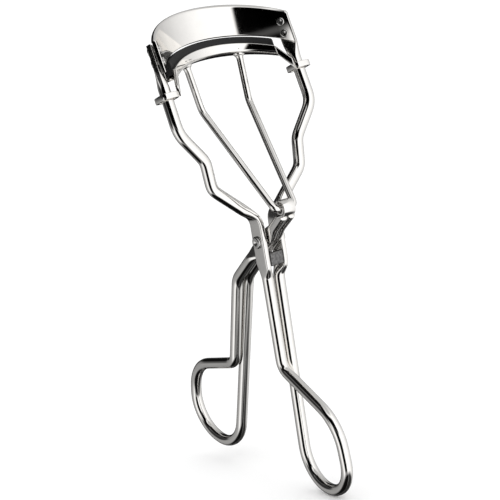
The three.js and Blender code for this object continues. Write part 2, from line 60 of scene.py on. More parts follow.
MM = 0.001
FIBRE_STEP = 0.4  # distance between rings along a wire
BEND_STEP = 4.0  # degrees between points round a bend
X_AXIS = Vector((1.0, 0.0, 0.0))
Y_AXIS = Vector((0.0, 1.0, 0.0))
Z_AXIS = Vector((0.0, 0.0, 1.0))


class Body(Enum):
    """The moving bodies of the curler."""

    FRAME = "frame"
    LEVER = "lever"
    JAW = "jaw"


class Slot(Enum):
    """The record's material slots."""

    STEEL = "polished_steel"
    RIVET = "rivet_steel"
    RUBBER = "black_rubber"


class Side(Enum):
    """The two sides of the tool, as the sign of X."""

    LEFT = -1
    RIGHT = 1


def joint_place(name: str) -> Vector:
    """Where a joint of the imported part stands.

    Args:
        name: the joint's name.

    Returns:
        Its place in metres.
    """
    joint = next(j for j in frame["joints"] if j["name"] == name)
    return Vector(joint["pos_m"])


PIVOT = joint_place("lever_pivot")


def placed(point: Vector) -> Vector:
    """Turns a point in millimetres from the pivot into metres in the part's frame."""
    return PIVOT + point * MM


# ---------------------------------------------------------------- node trees


def add_node(
    tree: bpy.types.NodeTree,
    kind: str,
    settings: Optional[dict[str, Any]] = None,
    values: Optional[dict[Any, Any]] = None,
    links: Optional[dict[Any, Any]] = None,
) -> bpy.types.Node:
    """Adds one node with its settings, input values and incoming links.

    Args:
        tree: the tree that gets the node.
        kind: the node's type name.
        settings: properties set on the node itself.
        values: input name or number to the value it holds.
        links: input name or number to the output socket that feeds it.

    Returns:
        The new node.
    """
    node = tree.nodes.new(kind)
    for name, value in (settings or {}).items():
        setattr(node, name, value)
    for key, value in (values or {}).items():
        node.inputs[key].default_value = value
    for key, socket in (links or {}).items():
        tree.links.new(socket, node.inputs[key])
    return node


def live_output(node: bpy.types.Node, name: str) -> bpy.types.NodeSocket:
    """The output socket of that name which the node's settings switch on."""
    return next(s for s in node.outputs if s.name == name and s.enabled)


def calc(tree: bpy.types.NodeTree, operation: str, *inputs: Any, clamp: bool = False) -> bpy.types.NodeSocket:
    """Adds one arithmetic node.

    Args:
        tree: the tree that gets the node.
        operation: the operation's name.
        inputs: a number or an output socket for each input in turn.
        clamp: whether the result is kept between 0 and 1.

    Returns:
        The result's socket.
    """
    links = {i: v for i, v in enumerate(inputs) if isinstance(v, bpy.types.NodeSocket)}
    values = {i: v for i, v in enumerate(inputs) if i not in links}
    settings = {"operation": operation, "use_clamp": clamp}
    return add_node(tree, "ShaderNodeMath", settings, values, links).outputs["Value"]


def remap(
    tree: bpy.types.NodeTree,
    value: bpy.types.NodeSocket,
    source: tuple[float, float] = (0.0, 1.0),
    target: tuple[float, float] = (0.0, 1.0),
    curve: str = "LINEAR",
) -> bpy.types.NodeSocket:
    """Stretches one range of a value onto another and stops at its ends.

    Args:
        tree: the tree that gets the node.
        value: the socket with the value.
        source: the range taken from it.
        target: the range it becomes.
        curve: how it runs between the ends.

    Returns:
        The result's socket.
    """
    values = dict(zip(("From Min", "From Max", "To Min", "To Max"), (*source, *target)))
    node = add_node(tree, "ShaderNodeMapRange", {"interpolation_type": curve}, values, {"Value": value})
    return node.outputs["Result"]


def noise(
    tree: bpy.types.NodeTree, place: bpy.types.NodeSocket, scale: float, detail: float, rough: float = 0.5
) -> bpy.types.NodeSocket:
    """Adds a noise pattern over a place and gives its value's socket."""
    values = {"Scale": scale, "Detail": detail, "Roughness": rough}
    return add_node(tree, "ShaderNodeTexNoise", values=values, links={"Vector": place}).outputs["Fac"]


def start_tree(
    name: str, inputs: dict[str, str]
) -> tuple[bpy.types.NodeTree, bpy.types.Node, dict[str, str]]:
    """Starts a Geometry Nodes tree that takes and gives geometry.

    Args:
        name: the tree's name.
        inputs: its other inputs and their kinds.

    Returns:
        The tree, its input node, and the inputs' identifiers.
    """
    tree = bpy.data.node_groups.new(name, "GeometryNodeTree")
    for way in ("INPUT", "OUTPUT"):
        tree.interface.new_socket("Geometry", in_out=way, socket_type="NodeSocketGeometry")
    sockets = {
        key: tree.interface.new_socket(key, in_out="INPUT", socket_type=f"NodeSocket{kind}").identifier
        for key, kind in inputs.items()
    }
    return tree, add_node(tree, "NodeGroupInput"), sockets


def close_tree(tree: bpy.types.NodeTree, start: bpy.types.Node, geometry: bpy.types.NodeSocket) -> None:
    """Ends a Geometry Nodes tree: makes its geometry real and gives it the finish.

    Args:
        tree: the tree.
        start: its input node, with an input called Finish.
        geometry: the geometry to give out.
    """
    real = add_node(tree, "GeometryNodeRealizeInstances", links={"Geometry": geometry})
    dressed = add_node(
        tree, "GeometryNodeSetMaterial",
        links={"Geometry": real.outputs["Geometry"], "Material": start.outputs["Finish"]},
    )
    add_node(tree, "NodeGroupOutput", links={"Geometry": dressed.outputs["Geometry"]})


def srgb(code: str) -> tuple[float, float, float, float]:
    """Turns an sRGB hex colour into linear red, green, blue and a full alpha."""
    parts = [int(code[i : i + 2], 16) / 255 for i in (1, 3, 5)]
    linear = [c / 12.92 if c <= 0.04045 else ((c + 0.055) / 1.055) ** 2.4 for c in parts]
    return (*linear, 1.0)


# ---------------------------------------------------------------- finishes


@dataclass(frozen=True)
class MirrorNickel:
    """Bright nickel plate on buffed steel wire and sheet.

    Buffing leaves a mirror with a very light haze, a few hair-fine wiping marks and faint drawing
    lines, so reflections stay crisp but their edges are a little uneven.
    """

    name: str = "mirror_nickel_plate"
    light: str = "#F4F2EF"
    dark: str = "#E2E0DD"
    roughness_low: float = 0.045
    roughness_high: float = 0.12
    haze_mm: float = 6.0  # size of the cloudy patches of haze
    hairline_mm: float = 0.12  # spacing of the wiping marks, coarser than real so that they show
    ripple_mm: float = 2.6  # waviness left by the buffing wheel
    ripple_height: float = 0.0035  # millimetres
    pressed: float = 0.0  # how satin the flattened ends are

    def build(self) -> bpy.types.Material:
        """Makes the material.

        Returns:
            The finished material.
        """
        material, tree, shader, place = start_material(self.name, metallic=1.0)
        haze = noise(tree, place, 1 / self.haze_mm, 3.0, 0.55)
        stretched = add_node(
            tree, "ShaderNodeMapping",
            values={"Scale": (1 / self.hairline_mm, 1 / self.hairline_mm, 0.08), "Rotation": (0.2, 0.5, 0.0)},
            links={"Vector": place},
        )
        hairlines = noise(tree, stretched.outputs["Vector"], 1.0, 2.0, 0.6)
        marks = remap(tree, hairlines, (0.58, 0.8), (0.0, 0.35))
        dull = calc(tree, "ADD", haze, marks, clamp=True)
        roughness = remap(tree, dull, (0.3, 1.0), (self.roughness_low, self.roughness_high))
        flat = add_node(tree, "ShaderNodeAttribute", {"attribute_name": "flat"})
        satin = calc(tree, "MULTIPLY_ADD", flat.outputs["Fac"], self.pressed, roughness)
        ripple = noise(tree, place, 1 / self.ripple_mm, 1.0)
        colour(tree, shader, (self.light, self.dark), haze)
        surface(tree, shader, satin, ripple, 0.6, self.ripple_height)
        return material


@dataclass(frozen=True)
class SatinNickel:
    """Nickel-plated rivet wire, peened over cold.

    The punch leaves a slightly duller, finely dimpled head than the buffed wire round it.
    """

    name: str = "peened_rivet_nickel"
    light: str = "#E4E3E1"
    dark: str = "#C4C3C2"
    roughness_low: float = 0.14
    roughness_high: float = 0.3
    dimple_mm: float = 0.35
    dimple_height: float = 0.006

    def build(self) -> bpy.types.Material:
        """Makes the material.

        Returns:
            The finished material.
        """
        material, tree, shader, place = start_material(self.name, metallic=1.0)
        dimples = noise(tree, place, 1 / self.dimple_mm, 2.0)
        roughness = remap(tree, dimples, (0.35, 0.65), (self.roughness_low, self.roughness_high))
        colour(tree, shader, (self.light, self.dark), dimples)
        surface(tree, shader, roughness, dimples, 0.7, self.dimple_height)
        return material


@dataclass(frozen=True)
class MouldedRubber:
    """Compression-moulded black silicone rubber.

    The mould was lightly blasted, so the pad is matt with a fine even grain, and handling leaves
    cloudy patches that are a little greyer.
    """

    name: str = "moulded_black_rubber"
    light: str = "#1B1B1D"
    dark: str = "#0C0C0D"
    roughness_low: float = 0.5
    roughness_high: float = 0.72
    cloud_mm: float = 1.8
    grain_mm: float = 0.12  # the blasted grain, drawn about twice as coarse as it is
    grain_height: float = 0.012

    def build(self) -> bpy.types.Material:
        """Makes the material.

        Returns:
            The finished material.
        """
        material, tree, shader, place = start_material(self.name)
        shader.inputs["IOR"].default_value = 1.45
        clouds = noise(tree, place, 1 / self.cloud_mm, 4.0, 0.6)
        roughness = remap(tree, clouds, target=(self.roughness_low, self.roughness_high))
        grain = add_node(
            tree, "ShaderNodeTexVoronoi", values={"Scale": 1 / self.grain_mm}, links={"Vector": place}
        )
        colour(tree, shader, (self.dark, self.light), remap(tree, clouds, (0.35, 0.7)))
        surface(tree, shader, roughness, grain.outputs["Distance"], 0.5, self.grain_height)
        return material


def colour(
    tree: bpy.types.NodeTree, shader: bpy.types.Node, pair: tuple[str, str], share: bpy.types.NodeSocket
) -> None:
    """Mixes a shader's colour from two hex colours, the second by share."""
    tint = add_node(
        tree, "ShaderNodeMix", {"data_type": "RGBA"}, {6: srgb(pair[0]), 7: srgb(pair[1])}, {0: share}
    )
    tree.links.new(tint.outputs[2], shader.inputs["Base Color"])


def surface(
    tree: bpy.types.NodeTree,
    shader: bpy.types.Node,
    roughness: bpy.types.NodeSocket,
    relief: bpy.types.NodeSocket,
    strength: float,
    height: float,
) -> None:
    """Gives a shader its roughness and its relief.

    Args:
        tree: the shader's tree.
        shader: the shader.
        roughness: the socket with its roughness.
        relief: the socket with the pattern that stands up.
        strength: how strongly the relief shows.
        height: the relief's height in millimetres.
    """
    values = {"Strength": strength, "Distance": height * MM}
    bump = add_node(tree, "ShaderNodeBump", values=values, links={"Height": relief})
    tree.links.new(roughness, shader.inputs["Roughness"])
    tree.links.new(bump.outputs["Normal"], shader.inputs["Normal"])


def start_material(
    name: str, metallic: float = 0.0
) -> tuple[bpy.types.Material, bpy.types.NodeTree, bpy.types.Node, bpy.types.NodeSocket]:
    """Starts a material with a principled shader and a position in millimetres.

    Args:
        name: the material's name.
        metallic: 1 for metal.

    Returns:
        The material, its tree, its shader, and the socket that gives the place on the piece in
        millimetres.
    """
    material = bpy.data.materials.new(name)
    material.use_nodes = True
    tree = material.node_tree
    shader = next(n for n in tree.nodes if n.type == "BSDF_PRINCIPLED")
    shader.inputs["Metallic"].default_value = metallic
    coordinates = add_node(tree, "ShaderNodeTexCoord")
    per_mm = 1 / MM
    scaled = add_node(
        tree, "ShaderNodeMapping",
        values={"Scale": (per_mm, per_mm, per_mm)},
        links={"Vector": coordinates.outputs["Object"]},
    )
    return material, tree, shader, scaled.outputs["Vector"]


# ---------------------------------------------------------------- meshes


def make_object(name: str, points: Iterable[Vector], faces: Iterable[Sequence[int]]) -> bpy.types.Object:
    """Makes a closed mesh object from points in millimetres.

    Args:
        name: the piece's name.
        points: its points, from the pivot.
        faces: its faces as point numbers.

    Returns:
        The object, at the origin, with its faces pointing outwards.
    """
    mesh = bpy.data.meshes.new(name)
    mesh.from_pydata([placed(p) for p in points], [], [list(f) for f in faces])
    turn_outwards(mesh)
    return linked(name, mesh)


def linked(name: str, mesh: bpy.types.Mesh) -> bpy.types.Object:
    """Puts a mesh into the scene as an object of that name."""
    thing = bpy.data.objects.new(name, mesh)
    bpy.context.scene.collection.objects.link(thing)
    return thing


def turn_outwards(mesh: bpy.types.Mesh) -> None:
    """Makes every face of each closed shell in a mesh point outwards."""
    work = bmesh.new()
    work.from_mesh(mesh)
    bmesh.ops.recalc_face_normals(work, faces=work.faces)
    if work.calc_volume(signed=True) < 0:
        bmesh.ops.reverse_faces(work, faces=work.faces)
    work.to_mesh(mesh)
    work.free()


def applied(thing: bpy.types.Object) -> bpy.types.Object:
    """Turns an object's modifiers into plain mesh.

    Args:
        thing: the object with its modifiers.

    Returns:
        The same object, without modifiers.
    """
    view = bpy.context.view_layer
    view.update()
    seen = thing.evaluated_get(bpy.context.evaluated_depsgraph_get())
    mesh = bpy.data.meshes.new_from_object(seen)
    mesh.name = thing.name
    thing.modifiers.clear()
    thing.data = mesh
    return thing


def grown(
    thing: bpy.types.Object, tree: bpy.types.NodeTree, sockets: dict[str, str], values: dict[str, Any]
) -> None:
    """Runs a Geometry Nodes tree on an object and keeps the result as plain mesh.

    Args:
        thing: the object.
        tree: the tree.
        sockets: the tree's inputs and their identifiers.
        values: the inputs' values.
    """
    nodes = thing.modifiers.new(tree.name, "NODES")
    nodes.node_group = tree
    for name, value in values.items():
        nodes[sockets[name]] = value
    applied(thing)
    turn_outwards(thing.data)


def tube_faces(rings: int, count: int) -> list[list[int]]:
    """Faces of a tube of rings with a cap on each end.

    Args:
        rings: how many rings it has.
        count: how many points are in a ring.

    Returns:
        The faces as point numbers.
    """
    faces = [
        [i * count + j, i * count + (j + 1) % count, (i + 1) * count + (j + 1) % count, (i + 1) * count + j]
        for i in range(rings - 1)
        for j in range(count)
    ]
    last = (rings - 1) * count
    return [*faces, list(range(count))[::-1], list(range(last, last + count))]


def bevelled(
    thing: bpy.types.Object, width: float, segments: int = 3, limit: float = 50.0
) -> bpy.types.Object:
    """Rounds an object's sharp edges and shades it smooth between them.

    Args:
        thing: the object.
        width: the bevel's width in millimetres.
        segments: how many faces go round an edge.
        limit: edges that turn by more than this many degrees are rounded.

    Returns:
        The same object.
    """
    bevel = thing.modifiers.new("edges", "BEVEL")
    bevel.width = width * MM
    bevel.segments = segments
    bevel.limit_method = "ANGLE"
    bevel.angle_limit = math.radians(limit)
    bevel.use_clamp_overlap = True
    bevel.harden_normals = False
    applied(thing)
    smooth(thing)
    return thing


def smooth(thing: bpy.types.Object, sharp: float = 40.0) -> None:
    """Shades an object smooth, apart from edges that turn by more than sharp degrees."""
    thing.data.shade_smooth()
    thing.data.set_sharp_from_angle(angle=math.radians(sharp))


def extruded(
    outer: Sequence[tuple[float, float]],
    inner: Optional[Sequence[tuple[float, float]]],
    low: float,
    high: float,
    at: Callable[[float, float, float], Vector],
) -> tuple[list[Vector], list[list[int]]]:
    """Draws a flat outline up into a closed body, with or without a hole of as many points.

    Args:
        outer: the outline.
        inner: the hole's outline, or None.
        low: where the body starts.
        high: where it ends.
        at: turns (across, along, up) into a point.

    Returns:
        Its points and faces.
    """
    count = len(outer)
    loops = [(outer, low), (outer, high)]
    if inner is not None:
        loops += [(inner, high), (inner, low)]
    points = [at(a, b, h) for loop, h in loops for a, b in loop]
    if inner is None:
        return points, tube_faces(len(loops), count)
    faces = []
    for row in range(len(loops)):
        following = (row + 1) % len(loops)
        for i in range(count):
            j = (i + 1) % count
            faces.append([row * count + i, row * count + j, following * count + j, following * count + i])
    return points, faces


def rounded_outline(
    centre: tuple[float, float], half: tuple[float, float], radius: float, steps: int = 5
) -> list[tuple[float, float]]:
    """A rectangle with round corners.

    Args:
        centre: its middle.
        half: half its width and half its length.
        radius: its corner radius.
        steps: faces round each corner.

    Returns:
        Its points, anticlockwise.
    """
    outline = []
    for quarter, (sx, sy) in enumerate([(1, 1), (-1, 1), (-1, -1), (1, -1)]):
        cx = centre[0] + sx * (half[0] - radius)
        cy = centre[1] + sy * (half[1] - radius)
        for k in range(steps + 1):
            a = math.radians(90 * quarter + 90 * k / steps)
            outline.append((cx + radius * math.cos(a), cy + radius * math.sin(a)))
    return outline


def rounded_corners(
    corners: Sequence[tuple[float, float, float]], steps: int = 5
) -> list[tuple[float, float]]:
    """Rounds each corner of a closed outline to its own radius.

    Args:
        corners: across, up and radius of each corner; radius 0 keeps it sharp.
        steps: faces round each corner.

    Returns:
        The rounded outline.
    """
    outline = []
    count = len(corners)
    for i, (x, y, radius) in enumerate(corners):
        at = Vector((x, y))
        if radius <= 0:
            outline.append((x, y))
            continue
        back = (Vector(corners[i - 1][:2]) - at).normalized()
        ahead = (Vector(corners[(i + 1) % count][:2]) - at).normalized()
        half_angle = back.angle(ahead) / 2
        run = radius / math.tan(half_angle)
        centre = at + (back + ahead).normalized() * radius / math.sin(half_angle)
        first = at + back * run - centre
        last = at + ahead * run - centre
        sweep = first.angle_signed(last)
        for k in range(steps + 1):
            turn = Matrix.Rotation(-sweep * k / steps, 2)
            outline.append(tuple(centre + turn @ first))
    return outline


# ---------------------------------------------------------------- wires


@dataclass(frozen=True)
class Corner:
    """A corner of a bent wire: where it is and the radius it is bent to."""

    at: Vector
    bend: float = 0.0


@dataclass(frozen=True)
class Section:
    """A wire's section at one place."""

    thin: Vector  # the direction it is pressed in
    thickness: float
    width: float
    squareness: float = 1.0  # 1 is round, 0 is square
    flat: float = 0.0  # 1 where it was pressed flat


def bent_path(corners: Sequence[Corner], spacing: float = FIBRE_STEP, soften: int = 4) -> list[Vector]:
    """Straight runs between corners, with each corner bent round its radius.

    Args:
        corners: the corners in order.
        spacing: distance between points.
        soften: rounds of smoothing, which ease each bend into its straight runs.

    Returns:
        Evenly spaced points.
    """
    points = [corners[0].at.copy()]
    for before, corner, after in zip(corners, corners[1:], corners[2:]):
        back = (before.at - corner.at).normalized()
        ahead = (after.at - corner.at).normalized()
        angle = math.pi - back.angle(ahead)
        start = corner.at + back * corner.bend * math.tan(angle / 2)
        centre = corner.at + (back + ahead).normalized() * corner.bend / math.cos(angle / 2)
        arm = start - centre
        axis = ahead.cross(back).normalized()
        steps = max(2, math.ceil(math.degrees(angle) / BEND_STEP))
        points += [Matrix.Rotation(angle * k / steps, 3, axis) @ arm + centre for k in range(steps + 1)]
    points.append(corners[-1].at.copy())
    even = evenly(points, spacing)
    for _ in range(soften):
        middle = [(a + 2 * b + c) / 4 for a, b, c in zip(even, even[1:], even[2:])]
        even = [even[0], *middle, even[-1]]
    return even


def evenly(points: Sequence[Vector], spacing: float) -> list[Vector]:
    """Points spaced evenly along a polyline.

    Args:
        points: the polyline.
        spacing: the distance wanted between points.

    Returns:
        The new points, with both ends kept.
    """
    lengths = [0.0]
    for a, b in zip(points, points[1:]):
        lengths.append(lengths[-1] + (b - a).length)
    count = max(2, round(lengths[-1] / spacing))
    result = []
    k = 0
    for i in range(count + 1):
        want = lengths[-1] * i / count
        while k < len(points) - 2 and lengths[k + 1] < want:
            k += 1
        run = lengths[k + 1] - lengths[k]
        share = (want - lengths[k]) / run if run > 0 else 0.0
        result.append(points[k].lerp(points[k + 1], min(max(share, 0.0), 1.0)))
    return result


def smoothstep(share: float) -> float:
    """Eases a share from 0 to 1."""
    s = min(max(share, 0.0), 1.0)
    return s * s * (3 - 2 * s)


def mix(a: float, b: float, share: float) -> float:
    """The value that lies a share of the way from a to b."""
    return a + (b - a) * share


@dataclass
class WireDrawer:
    """Draws wires along paths with one Geometry Nodes tree.

    The tree turns each path into rings of points and presses every ring to the thickness, width
    and squareness stored along the path.
    """

    sides: int = 28
    tree: bpy.types.NodeTree = field(init=False)
    sockets: dict[str, str] = field(init=False, default_factory=dict)

    def __post_init__(self) -> None:
        """Builds the tree once."""
        tree, start, self.sockets = start_tree("drawn_wire", {"Sides": "Int", "Finish": "Material"})
        path = add_node(tree, "GeometryNodeMeshToCurve", links={"Mesh": start.outputs["Geometry"]})
        ring = add_node(
            tree, "GeometryNodeCurvePrimitiveCircle",
            values={"Radius": MM},
            links={"Resolution": start.outputs["Sides"]},
        )
        number = add_node(tree, "GeometryNodeInputIndex")
        step = calc(tree, "DIVIDE", math.tau, start.outputs["Sides"])
        angle = calc(tree, "MULTIPLY", number.outputs["Index"], step)
        numbered = add_node(
            tree, "GeometryNodeStoreNamedAttribute", {"data_type": "FLOAT", "domain": "POINT"},
            values={"Name": "turn"},
            links={"Geometry": ring.outputs["Curve"], "Value": angle},
        )
        skin = add_node(
            tree, "GeometryNodeCurveToMesh",
            values={"Fill Caps": True},
            links={"Curve": path.outputs["Curve"], "Profile Curve": numbered.outputs["Geometry"]},
        )
        read = {
            name: live_output(
                add_node(tree, "GeometryNodeInputNamedAttribute", {"data_type": kind}, {"Name": name}),
                "Attribute",
            )
            for name, kind in (
                ("turn", "FLOAT"), ("half_thin", "FLOAT"), ("half_wide", "FLOAT"), ("square", "FLOAT"),
                ("middle", "FLOAT_VECTOR"), ("thin", "FLOAT_VECTOR"), ("across", "FLOAT_VECTOR"),
            )
        }
        place = read["middle"]
        for wave, reach, direction in (
            ("COSINE", "half_thin", "thin"),
            ("SINE", "half_wide", "across"),
        ):
            value = calc(tree, wave, read["turn"])
            pressed = calc(tree, "POWER", calc(tree, "ABSOLUTE", value), read["square"])
            signed = calc(tree, "MULTIPLY", pressed, calc(tree, "SIGN", value))
            shift = add_node(
                tree, "ShaderNodeVectorMath", {"operation": "SCALE"},
                links={0: read[direction], "Scale": calc(tree, "MULTIPLY", signed, read[reach])},
            )
            place = add_node(
                tree, "ShaderNodeVectorMath", {"operation": "ADD"},
                links={0: place, 1: shift.outputs["Vector"]},
            ).outputs["Vector"]
        pressed_skin = add_node(
            tree, "GeometryNodeSetPosition",
            links={"Geometry": skin.outputs["Mesh"], "Position": place},
        )
        shaded = add_node(
            tree, "GeometryNodeSetShadeSmooth", links={"Geometry": pressed_skin.outputs["Geometry"]}
        )
        close_tree(tree, start, shaded.outputs["Geometry"])
        self.tree = tree

    def draw(
        self,
        name: str,
        wires: Sequence[tuple[list[Vector], Callable[[Vector], Section]]],
        finish: bpy.types.Material,
        tip: float = 0.5,
    ) -> bpy.types.Object:
        """Draws one or more wires as one piece.

        Args:
            name: the piece's name.
            wires: each wire's path and the function that gives its section at a point.
            finish: its material.
            tip: how far from its ends a wire starts to round off, in millimetres.

        Returns:
            The piece as a plain mesh.
        """
        places: list[Vector] = []
        edges: list[tuple[int, int]] = []
        rows: dict[str, list[Any]] = {
            "half_thin": [], "half_wide": [], "square": [], "flat": [], "thin": [], "across": [],
        }
        for path, section in wires:
            base = len(places)
            lengths = [0.0]
            for a, b in zip(path, path[1:]):
                lengths.append(lengths[-1] + (b - a).length)
            for i, point in enumerate(path):
                along = (path[min(i + 1, len(path) - 1)] - path[max(i - 1, 0)]).normalized()
                here = section(point)
                thin = (here.thin - along * here.thin.dot(along)).normalized()
                end = min(lengths[i], lengths[-1] - lengths[i])
                shrink = math.sqrt(max(1 - max(1 - end / tip, 0.0) ** 2, 0.02)) if tip > 0 else 1.0
                places.append(point)
                rows["half_thin"].append(here.thickness / 2 * MM * shrink)
                rows["half_wide"].append(here.width / 2 * MM * shrink)
                rows["square"].append(here.squareness)
                rows["flat"].append(here.flat)
                rows["thin"].append(thin)
                rows["across"].append(along.cross(thin))
            edges += [(base + i, base + i + 1) for i in range(len(path) - 1)]
        mesh = bpy.data.meshes.new(name)
        mesh.from_pydata([placed(p) for p in places], edges, [])
        rows["middle"] = [placed(p) for p in places]
        for key, values in rows.items():
            vector = isinstance(values[0], Vector)
            layer = mesh.attributes.new(key, "FLOAT_VECTOR" if vector else "FLOAT", "POINT")
            flat_values = [c for v in values for c in v] if vector else values
            layer.data.foreach_set("vector" if vector else "value", flat_values)
        thing = linked(name, mesh)
        grown(thing, self.tree, self.sockets, {"Sides": self.sides, "Finish": finish})
        for key in [*rows, "turn"]:
            layer = thing.data.attributes.get(key)
            if key != "flat" and layer is not None:
                thing.data.attributes.remove(layer)
        smooth(thing, 50.0)
        return thing


# ---------------------------------------------------------------- shared sizes


@dataclass(frozen=True)
class JawFrame:
    """The leaning frame that both jaws are curved in: v is square to the jaw axis, w runs up it."""

    lean: float = 17.5
    radius: float = 20.0  # the top plate's hollow face
    middle_v: float = -1.1
    half_angle: float = 55.0
    arch: float = 6.6
    mid_radius: float = 20.45  # the middle of the lower jaw's channel, the pad and the links' tops
    channel_face: float = 18.75  # the channel's hollow face
    strap_angle: float = 49.5  # degrees, where the straps are riveted on

    @property
    def axis_v(self) -> float:
        """Where the jaws' axis stands."""
        return self.middle_v - self.radius

    def point(self, x: float, v: float, w: float) -> Vector:
        """A place in the leaning frame, as a point from the pivot."""
        a = math.radians(self.lean)
        return Vector((x, v * math.cos(a) + w * math.sin(a), -v * math.sin(a) + w * math.cos(a)))

    def height(self, point: Vector) -> float:
        """How far up the jaw axis a point is."""
        a = math.radians(self.lean)
        return point.y * math.sin(a) + point.z * math.cos(a)

    def drop(self, angle: float) -> float:
        """How far the arch has come down at an angle in degrees."""
        return self.arch * (angle / self.half_angle) ** 2

    def on_arc(self, angle: float, radius: float, w: float) -> Vector:
        """A place on the jaws' arc.

        Args:
            angle: degrees from the middle.
            radius: distance from the jaw axis.
            w: height before the arch is taken off.

        Returns:
            The point from the pivot.
        """
        a = math.radians(angle)
        v = self.axis_v + radius * math.cos(a)
        return self.point(radius * math.sin(a), v, w - self.drop(angle))

    def outward(self, angle: float) -> Vector:
        """The direction square to the jaws at an angle in degrees."""
        a = math.radians(angle)
        return self.point(math.sin(a), math.cos(a), 0.0)

    def swept(
        self, name: str, outline: Sequence[tuple[float, float]], half_angle: float, steps: int
    ) -> bpy.types.Object:
        """Sweeps an outline of radius and height along the arc.

        Args:
            name: the piece's name.
            outline: the closed outline.
            half_angle: degrees each side of the middle.
            steps: how many steps make the arc.

        Returns:
            The closed body.
        """
        points = [
            self.on_arc(half_angle * (2 * i / steps - 1), r, w)
            for i in range(steps + 1)
            for r, w in outline
        ]
        return make_object(name, points, tube_faces(steps + 1, len(outline)))


@dataclass(frozen=True)
class Stock:
    """The wire, and where its two strands lie in a handle."""

    wire: float = 2.5
    link: float = 1.5
    strand_gap: float = 0.4
    squareness: float = 0.36

    @property
    def strand_x(self) -> float:
        """Half the spacing of a handle's strands."""
        return (self.wire + self.strand_gap) / 2

    def section(self, share: float, thin: Vector, thickness: float, width: float) -> Section:
        """A section between the round wire and its pressed flat.

        Args:
            share: 0 for round, 1 for flat.
            thin: the direction it is pressed in.
            thickness: its thickness where flat.
            width: its width where flat.

        Returns:
            The section.
        """
        t = smoothstep(share)
        return Section(
            thin, mix(self.wire, thickness, t), mix(self.wire, width, t), mix(1.0, self.squareness, t), t
        )


JAWS = JawFrame()
STOCK = Stock()
BARREL_AXIS = (-8.1, 7.6)  # Y and Z of the barrel


@dataclass(frozen=True)
class LoopPlan:
    """Outline of a finger loop from its shoulder: length down, width out, drop of its outer corner."""

    length: float
    width: float
    slant: float
    corner_bend: float
    shoulder_bend: float = 3.0
    end_bend: float = 8.3
    twist: tuple[float, ...] = (-1.45, -0.9, 0.0, 0.7)  # X of each corner, as the loop crosses over

    def corners(self, shoulder: Vector, down: Vector, out: Vector) -> list[Corner]:
        """The loop's corners.

        Args:
            shoulder: where the loop leaves the strands.
            down: along the strands.
            out: away from the other handle.

        Returns:
            The corners from the first strand round to the second.
        """
        plan = [
            (0.0, 0.0, self.shoulder_bend),
            (self.slant, self.width, self.corner_bend),
            (self.length, self.width, self.end_bend),
            (self.length, 0.0, self.end_bend),
        ]
        found = []
        for (p, q, bend), x in zip(plan, self.twist):
            at = shoulder + down * p + out * q
            found.append(Corner(Vector((x, at.y, at.z)), bend))
        return found


def dress(thing: bpy.types.Object, finish: bpy.types.Material) -> bpy.types.Object:
    """Gives an object one finish on all its faces."""
    thing.data.materials.clear()
    thing.data.materials.append(finish)
    return thing


def hand_over(thing: bpy.types.Object, body: Body, slot: Slot, *nodes: str) -> None:
    """Ties a finished piece to its body and hides the CAD nodes that it stands for.

    Args:
        thing: the piece.
        body: the body that carries it.
        slot: the record's material slot; not used.
        nodes: the CAD nodes it replaces.
    """
    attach(thing, body.value)
    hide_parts(*nodes)
    triangles = sum(len(p.vertices) - 2 for p in thing.data.polygons)
    log.info("%s: %d triangles on %s", thing.name, triangles, body.value)


# ---------------------------------------------------------------- the fixed frame


